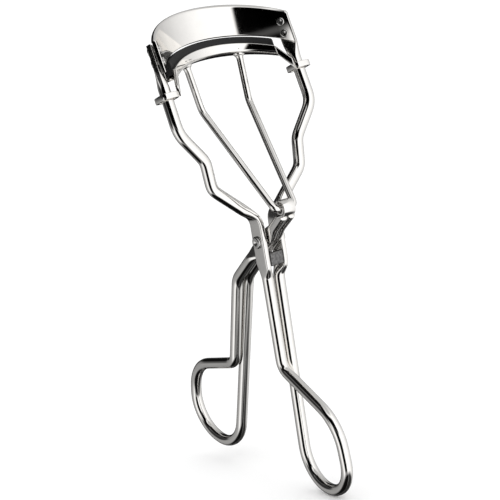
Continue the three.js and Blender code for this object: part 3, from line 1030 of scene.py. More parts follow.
@dataclass
class FrameWire:
    """The one bent wire of the frame: straps, side wires, eyes, handle strands and front loop."""

    shoulder_spread: float = 0.26
    shoulder_w: float = 25.4
    shoulder_bend: float = 5.0
    waist_top: tuple[float, float, float] = (11.75, 0.8, 19.5)
    waist_low: tuple[float, float, float] = (11.25, 0.8, 13.3)
    waist_bend: float = 2.6
    neck_bend: float = 3.0
    strap_radius: float = 21.72
    strap_thickness: float = 1.1
    strap_width: float = 3.2
    strap_squareness: float = 0.16
    strap_top_w: float = 44.9
    strap_flat_w: float = 39.4
    strap_round_w: float = 35.0
    eye_x: float = 2.3
    eye_thickness: float = 1.3
    eye_width: float = 4.1
    eye_top: float = 4.9
    eye_low: float = -5.2
    eye_taper: float = 3.0
    neck_rise: float = 0.2
    strand_y: float = 0.6
    strand_z: float = -8.0
    shoulder_z: float = -28.5
    loop: LoopPlan = field(default_factory=lambda: LoopPlan(26.6, 16.8, 9.8, corner_bend=10.0))

    def strap_place(self) -> tuple[float, float]:
        """X and v of a strap's middle."""
        a = math.radians(JAWS.strap_angle)
        return self.strap_radius * math.sin(a), JAWS.axis_v + self.strap_radius * math.cos(a)

    def half(self, side: Side) -> list[Corner]:
        """Corners of one side wire, from its strap down to the handle strand."""
        s = side.value
        x, v = self.strap_place()

        def mirrored(place: tuple[float, float, float]) -> Vector:
            """A place on this side of the tool."""
            return Vector((s * place[0], place[1], place[2]))

        return [
            Corner(JAWS.point(s * x, v, self.strap_top_w)),
            Corner(JAWS.point(s * (x + self.shoulder_spread), v, self.shoulder_w), self.shoulder_bend),
            Corner(mirrored(self.waist_top), self.waist_bend),
            Corner(mirrored(self.waist_low), self.waist_bend),
            Corner(Vector((s * self.eye_x, 0.0, self.eye_top + self.neck_rise)), self.neck_bend),
            Corner(Vector((s * self.eye_x, 0.0, self.eye_low)), self.neck_bend),
            Corner(Vector((s * STOCK.strand_x, self.strand_y, self.strand_z)), self.neck_bend),
        ]

    def section(self, point: Vector) -> Section:
        """The wire's section at a point."""
        w = JAWS.height(point)
        side = -1.0 if point.x < 0 else 1.0
        outward = JAWS.outward(side * JAWS.strap_angle) * side
        lean = smoothstep((w - self.shoulder_w) / (self.strap_round_w - self.shoulder_w))
        thin = X_AXIS.lerp(outward, lean).normalized()
        if w > self.strap_round_w:
            share = (w - self.strap_round_w) / (self.strap_flat_w - self.strap_round_w)
            bar = STOCK.section(share, thin, self.strap_thickness, self.strap_width)
            return replace(bar, squareness=mix(1.0, self.strap_squareness, smoothstep(share)))
        beyond = max(point.z - self.eye_top, self.eye_low - point.z, 0.0)
        return STOCK.section(1 - beyond / self.eye_taper, thin, self.eye_thickness, self.eye_width)

    def build(self, drawer: WireDrawer, finish: bpy.types.Material) -> None:
        """Draws the wire and hands it over.

        Args:
            drawer: the wire tree.
            finish: its material.
        """
        shoulder = Vector((0.0, self.strand_y, self.shoulder_z))
        corners = [
            *self.half(Side.LEFT),
            *self.loop.corners(shoulder, -Z_AXIS, -Y_AXIS),
            *reversed(self.half(Side.RIGHT)),
        ]
        thing = drawer.draw("frame_wire", [(bent_path(corners), self.section)], finish, tip=0.15)
        hand_over(
            thing, Body.FRAME, Slot.STEEL, "frame_wire_left", "frame_wire_right", "front_finger_loop"
        )


@dataclass
class TopPlate:
    """The arched top plate, with its rolled upper edge."""

    thickness: float = 0.9
    height: float = 7.0
    low_w: float = 44.6
    lip_radius: float = 0.4
    lip_turn: float = 34.0
    edge: float = 0.16
    crown: float = 0.3  # how far the lip's edge is rounded, in thicknesses

    def outline(self) -> list[tuple[float, float]]:
        """The plate's section: a straight band, rolled back at the top, with eased edges."""
        face = JAWS.radius
        back = face + self.thickness
        bend_r = back + self.lip_radius
        rise = (self.thickness + self.lip_radius) * math.sin(math.radians(self.lip_turn))
        bend_w = self.low_w + self.height - rise

        def at(radius: float, degrees: float) -> tuple[float, float]:
            """A place on the lip's bend."""
            a = math.radians(degrees)
            return bend_r - radius * math.cos(a), bend_w + radius * math.sin(a)

        turns = [self.lip_turn * k / 10 for k in range(11)]
        tip_out = at(self.lip_radius + self.thickness, self.lip_turn)
        tip_in = at(self.lip_radius, self.lip_turn)
        ease = self.edge
        above = self.low_w + self.height / 2
        band = [(back, self.low_w, ease), (face, self.low_w, ease), (face, above, 0.0), (back, above, 0.0)]
        lower = rounded_corners(band, 3)[: 2 * 4]
        outer = [at(self.lip_radius + self.thickness, a) for a in turns[:-1]]
        inner = [at(self.lip_radius, a) for a in reversed(turns[:-1])]
        across = Vector(tip_in) - Vector(tip_out)
        tangent = Vector((math.sin(math.radians(self.lip_turn)), math.cos(math.radians(self.lip_turn))))
        middle = (Vector(tip_in) + Vector(tip_out)) / 2
        cap = []
        for k in range(1, 8):
            a = math.pi * k / 8
            proud = tangent * self.thickness * self.crown * math.sin(a)
            cap.append(tuple(middle - across / 2 * math.cos(a) + proud))
        return [*lower, *outer, *cap, *inner]

    def build(self, finish: bpy.types.Material) -> None:
        """Makes the plate and hands it over.

        Args:
            finish: its material.
        """
        thing = JAWS.swept("top_plate_sheet", self.outline(), JAWS.half_angle, 88)
        bevelled(thing, self.edge)
        dress(thing, finish)
        hand_over(thing, Body.FRAME, Slot.STEEL, "top_plate")


@dataclass
class PlateRivets:
    """The four rivets through the straps, set out by one Geometry Nodes tree."""

    heights: tuple[float, float] = (40.7, 43.3)
    shank: float = 1.0
    head: float = 1.7
    head_height: float = 0.42
    reach: float = 1.1
    radius: float = 21.15
    sides: int = 40
    roundness: float = 0.42  # power of the head's dome, flatter below 0.5
    dish_power: float = 5.0
    dish_depth: float = 0.4  # share of the head's height
    shank_length: float = 2.04  # in reaches, so that it ends inside both heads

    def tree(self) -> tuple[bpy.types.NodeTree, dict[str, str]]:
        """Builds the tree that sets a two-headed rivet on every point.

        Returns:
            The tree, and its input names with their identifiers.
        """
        tree, start, sockets = start_tree("set_rivets", {
            "Head Radius": "Float", "Head Height": "Float", "Shank Radius": "Float", "Reach": "Float",
            "Sides": "Int", "Finish": "Material",
        })
        ball = add_node(
            tree, "GeometryNodeMeshUVSphere",
            values={"Rings": 24, "Radius": 1.0}, links={"Segments": start.outputs["Sides"]},
        )
        spot = add_node(tree, "GeometryNodeInputPosition")
        parts = add_node(tree, "ShaderNodeSeparateXYZ", links={"Vector": spot.outputs["Position"]})
        upper = calc(tree, "MAXIMUM", parts.outputs["Z"], 0.0)
        dome = calc(tree, "POWER", upper, self.roundness)
        dish = calc(tree, "POWER", upper, self.dish_power)
        flatter = calc(tree, "MULTIPLY_ADD", dish, -self.dish_depth, dome)
        wide = [calc(tree, "MULTIPLY", parts.outputs[axis], start.outputs["Head Radius"]) for axis in "XY"]
        tall = calc(tree, "MULTIPLY_ADD", flatter, start.outputs["Head Height"], start.outputs["Reach"])
        place = add_node(
            tree, "ShaderNodeCombineXYZ", links={"X": wide[0], "Y": wide[1], "Z": tall}
        )
        head = add_node(
            tree, "GeometryNodeSetPosition",
            links={"Geometry": ball.outputs["Mesh"], "Position": place.outputs["Vector"]},
        )
        other = add_node(
            tree, "GeometryNodeTransform",
            values={"Rotation": (math.pi, 0.0, 0.0)}, links={"Geometry": head.outputs["Geometry"]},
        )
        length = calc(tree, "MULTIPLY", start.outputs["Reach"], self.shank_length)
        shank = add_node(
            tree, "GeometryNodeMeshCylinder",
            values={"Vertices": 24},
            links={"Radius": start.outputs["Shank Radius"], "Depth": length},
        )
        whole = add_node(tree, "GeometryNodeJoinGeometry")
        for part in (shank.outputs["Mesh"], other.outputs["Geometry"], head.outputs["Geometry"]):
            tree.links.new(part, whole.inputs[0])
        axis = add_node(
            tree, "GeometryNodeInputNamedAttribute", {"data_type": "FLOAT_VECTOR"}, {"Name": "axis"}
        )
        turn = add_node(
            tree, "FunctionNodeAlignRotationToVector", {"axis": "Z"},
            links={"Vector": live_output(axis, "Attribute")},
        )
        copies = add_node(
            tree, "GeometryNodeInstanceOnPoints",
            links={
                "Points": start.outputs["Geometry"], "Instance": whole.outputs["Geometry"],
                "Rotation": turn.outputs["Rotation"],
            },
        )
        close_tree(tree, start, copies.outputs["Instances"])
        return tree, sockets

    def build(self, finish: bpy.types.Material) -> None:
        """Sets the four rivets and hands them over.

        Args:
            finish: their material.
        """
        places, axes, nodes_replaced = [], [], []
        for side in Side:
            for w, level in zip(self.heights, ("lower", "upper")):
                a = math.radians(JAWS.strap_angle)
                v = JAWS.axis_v + self.radius * math.cos(a)
                places.append(placed(JAWS.point(side.value * self.radius * math.sin(a), v, w)))
                axes += list(JAWS.outward(side.value * JAWS.strap_angle))
                nodes_replaced.append(f"plate_rivet_{side.name.lower()}_{level}")
        mesh = bpy.data.meshes.new("plate_rivets")
        mesh.from_pydata(places, [], [])
        mesh.attributes.new("axis", "FLOAT_VECTOR", "POINT").data.foreach_set("vector", axes)
        thing = linked("plate_rivets", mesh)
        grown(thing, *self.tree(), {
            "Head Radius": self.head / 2 * MM, "Head Height": self.head_height * MM,
            "Shank Radius": self.shank / 2 * MM, "Reach": self.reach * MM,
            "Sides": self.sides, "Finish": finish,
        })
        smooth(thing, 60.0)
        hand_over(thing, Body.FRAME, Slot.RIVET, *nodes_replaced)


@dataclass
class PivotRivet:
    """The main pivot, with a formed and dimpled head on each eye."""

    shank: float = 1.6
    head: float = 2.7
    head_height: float = 0.5
    reach: float = 3.0
    dimple: float = 1.5
    rim: float = 0.34
    chamfer: float = 0.05
    shoulder: float = 0.3
    skirt: float = 0.1
    round_steps: int = 6
    sides: int = 56

    def outline(self) -> list[tuple[float, float]]:
        """Radius and distance along the axis, from the middle of one head to the other's."""
        head, tip = self.head / 2, self.reach + self.head_height
        half = [(self.shank / 2, self.reach), (head - self.chamfer, self.reach)]
        for k in range(self.round_steps + 1):
            a = math.radians(90 * k / self.round_steps)
            r = head - self.shoulder + self.shoulder * math.cos(a)
            half.append((r, self.reach + self.skirt + (self.head_height - self.skirt) * math.sin(a)))
        for k in range(self.round_steps + 1):
            share = k / self.round_steps
            sunk = self.rim * (1 - math.cos(math.pi * share)) / 2
            half.append((self.dimple / 2 * (1 - share) + 1e-3, tip - sunk))
        return [*[(r, -x) for r, x in reversed(half)], *half]

    def build(self, finish: bpy.types.Material) -> None:
        """Turns the rivet and hands it over.

        Args:
            finish: its material.
        """
        outline = self.outline()
        turns = [math.tau * k / self.sides for k in range(self.sides)]
        points = [Vector((x, r * math.cos(a), r * math.sin(a))) for r, x in outline for a in turns]
        thing = make_object("pivot_rivet_turned", points, tube_faces(len(outline), self.sides))
        smooth(thing, 50.0)
        dress(thing, finish)
        hand_over(thing, Body.FRAME, Slot.RIVET, "pivot_rivet")


@dataclass
class EyeSpacer:
    """The block that holds the two eyes apart below the lever."""

    half_x: float = 1.62
    front_y: float = -2.05
    back_y: float = -0.3
    low_z: float = -5.4
    top_z: float = -2.5
    corner: float = 0.3
    slope_y: float = 0.8
    slope_z: float = 0.7
    edge: float = 0.2

    def build(self, finish: bpy.types.Material) -> None:
        """Makes the block and hands it over.

        Args:
            finish: its material.
        """
        outline = rounded_corners([
            (self.front_y, self.low_z, self.corner), (self.back_y, self.low_z, self.corner),
            (self.back_y, self.top_z - self.slope_z, self.corner),
            (self.back_y - self.slope_y, self.top_z, self.corner),
            (self.front_y, self.top_z, self.corner),
        ])
        points, faces = extruded(
            outline, None, -self.half_x, self.half_x, lambda y, z, x: Vector((x, y, z))
        )
        thing = make_object("eye_spacer_block", points, faces)
        bevelled(thing, self.edge)
        dress(thing, finish)
        hand_over(thing, Body.FRAME, Slot.STEEL, "eye_spacer")


# ---------------------------------------------------------------- the lever


@dataclass
class LeverWire:
    """The lever's one bent wire: two flat arms, the eyes and the rear finger loop."""

    eye_x: float = 0.74
    eye_thickness: float = 1.24
    eye_width: float = 3.4
    eye_reach: float = 4.0
    taper: float = 3.0
    eye_bend: float = 6.0
    neck_bend: float = 4.0
    arm_x: float = 1.03
    arm_thickness: float = 1.95
    arm_width: float = 2.3
    arm_squareness: float = 0.85
    knee: tuple[float, float] = (12.9, -9.8)
    knee_bend: float = 4.0
    splay: float = 19.0
    strand: float = 21.6
    past_barrel: float = 0.6
    arm_drop: float = 1.7
    barrel_seat: float = 3.9
    loop: LoopPlan = field(default_factory=lambda: LoopPlan(25.4, 17.0, 9.4, corner_bend=11.0))

    def half(self, side: Side) -> list[Corner]:
        """Corners of one strand, from the arm's tip to the knee."""
        s = side.value
        axis = Vector((0.0, *BARREL_AXIS))
        end = axis + axis.normalized() * self.past_barrel - Z_AXIS * self.arm_drop
        along = Vector((0.0, *self.knee)).normalized()
        neck_start = along * self.eye_reach + X_AXIS * s * self.eye_x
        neck_end = along * (self.eye_reach + self.taper) + X_AXIS * s * STOCK.strand_x
        return [
            Corner(Vector((s * self.arm_x, end.y, end.z))),
            Corner(Vector((s * self.eye_x, 0.0, 0.0)), self.eye_bend),
            Corner(neck_start, self.neck_bend),
            Corner(neck_end, self.neck_bend),
            Corner(Vector((s * STOCK.strand_x, *self.knee)), self.knee_bend),
        ]

    def section(self, point: Vector) -> Section:
        """The wire's section at a point."""
        reach = math.hypot(point.y, point.z)
        if point.y > 0:
            share = 1 - (reach - self.eye_reach) / self.taper
            return STOCK.section(share, X_AXIS, self.eye_thickness, self.eye_width)
        out = smoothstep((reach - self.eye_width / 2) / self.eye_reach)
        return Section(
            X_AXIS,
            mix(self.eye_thickness, self.arm_thickness, out),
            mix(self.eye_width, self.arm_width, out),
            mix(STOCK.squareness, self.arm_squareness, out), 1.0,
        )

    def build(self, drawer: WireDrawer, finish: bpy.types.Material) -> None:
        """Draws the lever, seats the barrel in its arms and hands it over.

        Args:
            drawer: the wire tree.
            finish: its material.
        """
        a = math.radians(self.splay)
        down = Vector((0.0, math.sin(a), -math.cos(a)))
        out = Vector((0.0, math.cos(a), math.sin(a)))
        shoulder = Vector((0.0, *self.knee)) + down * self.strand
        corners = [
            *self.half(Side.LEFT),
            *self.loop.corners(shoulder, down, out),
            *reversed(self.half(Side.RIGHT)),
        ]
        thing = drawer.draw("lever_wire", [(bent_path(corners), self.section)], finish, tip=0.3)
        self.seat_barrel(thing)
        dress(thing, finish)
        hand_over(thing, Body.LEVER, Slot.STEEL, "rear_finger_lever")

    def seat_barrel(self, thing: bpy.types.Object) -> None:
        """Cuts the barrel's seat out of the arms.

        Args:
            thing: the lever wire.
        """
        outline = [
            (
                BARREL_AXIS[0] + self.barrel_seat / 2 * math.cos(math.tau * k / 64),
                BARREL_AXIS[1] + self.barrel_seat / 2 * math.sin(math.tau * k / 64),
            )
            for k in range(64)
        ]
        points, faces = extruded(outline, None, -4.0, 4.0, lambda y, z, x: Vector((x, y, z)))
        tool = make_object("barrel_seat_tool", points, faces)
        cut = thing.modifiers.new("seat", "BOOLEAN")
        cut.operation = "DIFFERENCE"
        cut.solver = "EXACT"
        cut.object = tool
        applied(thing)
        bpy.data.objects.remove(tool)
        smooth(thing, 50.0)


@dataclass
class RolledBarrel:
    """The barrel on the lever's arms, rolled up from strip so that its end shows a spiral."""

    diameter: float = 4.0
    length: float = 2.8
    strip: float = 0.42
    lap_gap: float = 0.17
    turns: float = 1.72
    start: float = 250.0  # degrees, where the outer lap leaves the arm
    edge: float = 0.1

    def build(self, finish: bpy.types.Material) -> None:
        """Rolls the barrel and hands it over.

        Args:
            finish: its material.
        """
        steps = round(self.turns * 60)
        outer, inner = [], []
        for k in range(steps + 1):
            turned = self.turns * k / steps
            a = math.radians(self.start) - math.tau * turned
            r = self.diameter / 2 - (self.strip + self.lap_gap) * turned
            for row, radius in ((outer, r), (inner, r - self.strip)):
                row.append((BARREL_AXIS[0] + radius * math.cos(a), BARREL_AXIS[1] + radius * math.sin(a)))
        outline = [*outer, *reversed(inner)]
        points = [Vector((x, y, z)) for x in (-self.length / 2, self.length / 2) for y, z in outline]
        n, m = len(outline), len(outer)
        faces = [[i, (i + 1) % n, n + (i + 1) % n, n + i] for i in range(n)]
        for i in range(m - 1):
            j = n - 1 - i
            faces.append([i, i + 1, j - 1, j])
            faces.append([n + i, n + i + 1, n + j - 1, n + j])
        thing = make_object("rolled_barrel", points, faces)
        bevelled(thing, self.edge, 2, 60.0)
        dress(thing, finish)
        hand_over(thing, Body.LEVER, Slot.STEEL, "lever_barrel")


# ---------------------------------------------------------------- the sliding jaw


@dataclass
class LowerJaw:
    """The folded channel that holds the pad, and the pad."""

    pad_thickness: float = 1.6
    pad_top_w: float = 44.3
    pad_low_w: float = 41.4
    pad_half_angle: float = 40.8
    pad_crown: float = 0.45
    channel_low_w: float = 40.5
    channel_top_w: float = 42.6
    channel_floor_w: float = 41.1
    channel_gap: float = 0.12
    channel_half_angle: float = 42.0
    channel_back: float = 22.15
    fold_radius: float = 0.7
    edge: float = 0.14

    def channel(self, finish: bpy.types.Material) -> None:
        """Folds the channel and hands it over.

        Args:
            finish: its material.
        """
        slot_in = JAWS.mid_radius - self.pad_thickness / 2 - self.channel_gap
        slot_out = JAWS.mid_radius + self.pad_thickness / 2 + self.channel_gap
        face, back = JAWS.channel_face, self.channel_back
        outline = rounded_corners([
            (back, self.channel_low_w, self.fold_radius),
            (face, self.channel_low_w, self.fold_radius),
            (face, self.channel_top_w, self.edge),
            (slot_in, self.channel_top_w, self.edge),
            (slot_in, self.channel_floor_w, 0.1),
            (slot_out, self.channel_floor_w, 0.1),
            (slot_out, self.channel_top_w, self.edge),
            (back, self.channel_top_w, self.edge),
        ], 4)
        thing = JAWS.swept("lower_jaw_channel", outline, self.channel_half_angle, 72)
        bevelled(thing, self.edge)
        dress(thing, finish)
        hand_over(thing, Body.JAW, Slot.STEEL, "lower_jaw")

    def pad(self, finish: bpy.types.Material) -> None:
        """Moulds the pad and hands it over.

        Args:
            finish: its material.
        """
        near = JAWS.mid_radius - self.pad_thickness / 2
        far = JAWS.mid_radius + self.pad_thickness / 2
        outline = rounded_corners([
            (far, self.pad_low_w, 0.15), (near, self.pad_low_w, 0.15),
            (near, self.pad_top_w, self.pad_crown), (far, self.pad_top_w, self.pad_crown),
        ], 6)
        thing = JAWS.swept("moulded_pad", outline, self.pad_half_angle, 72)
        bevelled(thing, 0.25, 3)
        dress(thing, finish)
        hand_over(thing, Body.JAW, Slot.RUBBER, "rubber_pad")


@dataclass
class JawGuide:
    """A slotted tab round a side wire, on a tongue that goes on from the end of the channel."""

    side: Side
    height_w: float = 33.3
    thickness: float = 1.3
    depth: float = 4.8
    wire_x: float = 16.69
    wire_v: float = -6.975
    inner_x: float = 14.64
    outer_x: float = 18.69
    slot_half_x: float = 1.55
    slot_half_v: float = 1.9
    tab_corner: float = 1.1
    slot_corner: float = 1.3
    tongue_inner: float = 18.75
    tongue_outer: float = 19.45
    tongue_start: float = 41.9  # degrees round the jaws' arc
    tongue_end: float = 50.0
    tongue_low_w: float = 36.65
    tongue_top_w: float = 38.75
    tongue_rise: float = 1.0
    tongue_steps: int = 20
    edge: float = 0.2

    def tongue(self) -> tuple[list[Vector], list[list[int]]]:
        """The tongue that comes down the jaws' arc from the channel's end to the tab.

        Returns:
            Its points and faces.
        """
        points: list[Vector] = []
        for i in range(self.tongue_steps + 1):
            share = i / self.tongue_steps
            a = math.radians(mix(self.tongue_start, self.tongue_end, share))
            low = mix(self.tongue_low_w, self.height_w - self.thickness / 2, share)
            top = mix(self.tongue_top_w, self.height_w + self.thickness / 2 + self.tongue_rise, share)
            for radius, w in (
                (self.tongue_outer, low), (self.tongue_inner, low),
                (self.tongue_inner, top), (self.tongue_outer, top),
            ):
                x = self.side.value * radius * math.sin(a)
                points.append(JAWS.point(x, JAWS.axis_v + radius * math.cos(a), w))
        return points, tube_faces(self.tongue_steps + 1, 4)

    def build(self, finish: bpy.types.Material) -> None:
        """Makes the guide and hands it over.

        Args:
            finish: its material.
        """
        s = self.side.value
        centre = (self.inner_x + self.outer_x) / 2
        half = (self.outer_x - self.inner_x) / 2

        def at(x: float, v: float, w: float) -> Vector:
            """A place on this side of the jaws."""
            return JAWS.point(s * x, v, w)

        tab, tab_faces = extruded(
            rounded_outline((centre, self.wire_v), (half, self.depth / 2), self.tab_corner, 6),
            rounded_outline(
                (self.wire_x, self.wire_v), (self.slot_half_x, self.slot_half_v), self.slot_corner, 6
            ),
            self.height_w - self.thickness / 2,
            self.height_w + self.thickness / 2,
            at,
        )
        tongue, tongue_faces = self.tongue()
        faces = [*tab_faces, *[[i + len(tab) for i in f] for f in tongue_faces]]
        thing = make_object(f"jaw_guide_tab_{self.side.name.lower()}", [*tab, *tongue], faces)
        bevelled(thing, self.edge, 3)
        dress(thing, finish)
        hand_over(thing, Body.JAW, Slot.STEEL, f"jaw_guide_{self.side.name.lower()}")


@dataclass
class LinkWires:
    """The two thin wires from the channel down to the barrel, each brazed on with a small foot."""

    top_x: float = 6.75
    top_w: float = 40.75
    knee: tuple[float, float, float] = (6.0, -0.75, 29.8)
    knee_bend: float = 4.0
    hook_x: float = 2.45
    hook_bend: float = 0.825
    hook_end_x: float = 0.4
    foot: float = 0.55  # how much the foot adds to the radius
    foot_height: float = 1.3
    boss: float = 1.5  # the peened end that shows on the channel's hollow face
    boss_height: float = 0.35
    boss_w: float = 41.4

    def path(self, side: Side) -> list[Vector]:
        """The path of one wire, from the channel to the hook's end."""
        s = side.value
        angle = math.asin(self.top_x / JAWS.mid_radius)
        v = JAWS.axis_v + JAWS.mid_radius * math.cos(angle)
        w = self.top_w - JAWS.drop(math.degrees(angle))
        return bent_path([
            Corner(JAWS.point(s * self.top_x, v, w)),
            Corner(JAWS.point(s * self.knee[0], self.knee[1], self.knee[2]), self.knee_bend),
            Corner(Vector((s * self.hook_x, *BARREL_AXIS)), self.hook_bend),
            Corner(Vector((s * self.hook_end_x, *BARREL_AXIS))),
        ], 0.25)

    def section(self, point: Vector) -> Section:
        """The wire's section at a point, wider at its brazed foot."""
        angle = math.degrees(math.asin(self.top_x / JAWS.mid_radius))
        top = self.top_w - 0.25 - JAWS.drop(angle)
        near = 1 - min(max((top - JAWS.height(point)) / self.foot_height, 0.0), 1.0)
        size = STOCK.link + 2 * self.foot * near ** 3
        return Section(Vector((0.0, 1.0, 0.2)), size, size)

    def boss_path(self, side: Side) -> list[Vector]:
        """A short path out of the channel's hollow face, where a wire's end is peened over."""
        angle = side.value * math.degrees(math.asin(self.top_x / JAWS.mid_radius))
        root = JAWS.on_arc(angle, JAWS.channel_face + 0.1, self.boss_w)
        tip = JAWS.on_arc(angle, JAWS.channel_face - self.boss_height, self.boss_w)
        return [root.lerp(tip, k / 8) for k in range(9)]

    def boss_section(self, point: Vector) -> Section:
        """The boss's round section, which closes in a dome."""
        angle = math.degrees(math.asin(point.x / JAWS.mid_radius))
        root = JAWS.on_arc(angle, JAWS.channel_face, self.boss_w)
        out = min(max((point - root).length / self.boss_height, 0.0), 0.98)
        size = self.boss * math.sqrt(1 - out ** 2)
        return Section(Z_AXIS, size, size)

    def build(self, drawer: WireDrawer, finish: bpy.types.Material) -> None:
        """Draws both wires as one piece and hands them over.

        Args:
            drawer: the wire tree.
            finish: their material.
        """
        wires = [(self.path(side), self.section) for side in Side]
        wires += [(self.boss_path(side), self.boss_section) for side in Side]
        thing = drawer.draw("link_wires", wires, finish, tip=0.0)
        hand_over(thing, Body.JAW, Slot.STEEL, "link_wire_left", "link_wire_right")


# ---------------------------------------------------------------- studio


def grey(level: float) -> tuple[float, float, float, float]:
    """Turns a grey from 0 to 1, or a little brighter, into linear red, green, blue and a full alpha."""
    linear = level ** 2.2
    return linear, linear, linear, 1.0


@dataclass(frozen=True)
class Panel:
    """A flag or board hung in the tent, in degrees of bearing and elevation, with soft edges.

    Bearings are measured from the tool's front and grow to its right.
    """

    bearing: float
    half_width: float
    low: float
    high: float
    level: float  # grey from 0 to 1
    side_blur: float = 8.0
    edge_blur: float = 7.0

    def hang(
        self,
        tree: bpy.types.NodeTree,
        heading: bpy.types.NodeSocket,
        elevation: bpy.types.NodeSocket,
        behind: bpy.types.NodeSocket,
    ) -> bpy.types.NodeSocket:
        """Hangs the panel in front of what the tent shows so far.

        Args:
            tree: the tent's tree.
            heading: the level direction to a place on the tent.
            elevation: its elevation in radians.
            behind: the colour so far.

        Returns:
            The colour with the panel.
        """
        a = math.radians(self.bearing)
        facing = add_node(
            tree, "ShaderNodeVectorMath", {"operation": "DOT_PRODUCT"},
            {1: (math.sin(a), -math.cos(a), 0.0)}, {0: heading},
        ).outputs["Value"]
        sides = [math.cos(math.radians(self.half_width + d)) for d in (self.side_blur, -self.side_blur)]
        across = remap(tree, facing, tuple(sides), curve="SMOOTHSTEP")
        middle, half = math.radians((self.low + self.high) / 2), math.radians((self.high - self.low) / 2)
        blur = math.radians(self.edge_blur)
        apart = calc(tree, "ABSOLUTE", calc(tree, "SUBTRACT", elevation, middle))
        upright = remap(tree, apart, (half - blur, half + blur), (1.0, 0.0), "SMOOTHSTEP")
        mask = calc(tree, "MULTIPLY", across, upright)
        mixed = add_node(
            tree, "ShaderNodeMix", {"data_type": "RGBA"}, {7: grey(self.level)}, {0: mask, 6: behind}
        )
        return mixed.outputs[2]


FLOOR_LEFT = Panel(bearing=-90, half_width=92, low=-105, high=-48, level=0.08)
FLOOR_RIGHT = Panel(bearing=90, half_width=88, low=-105, high=-45, level=0.2)
CEILING_RIGHT = Panel(bearing=50, half_width=95, low=54, high=105, level=0.72, side_blur=10)
CEILING_LEFT = Panel(bearing=-120, half_width=62, low=34, high=105, level=0.1, side_blur=10)
LEFT_WALL = Panel(bearing=-125, half_width=35, low=-5, high=35, level=0.2)
BACK_CORNER = Panel(bearing=155, half_width=25, low=-45, high=5, level=0.1)
BACK_CURTAIN = Panel(bearing=172, half_width=30, low=4, high=44, level=0.08)
CAMERA_FLAG = Panel(bearing=-50, half_width=22, low=-48, high=14, level=0.02)
SIDE_BOARD = Panel(bearing=-55, half_width=40, low=10, high=45, level=0.01, side_blur=2.5, edge_blur=5)
PANELS = (
    FLOOR_LEFT, FLOOR_RIGHT, CEILING_RIGHT, CEILING_LEFT, LEFT_WALL, BACK_CORNER, BACK_CURTAIN,
    CAMERA_FLAG, SIDE_BOARD,
)


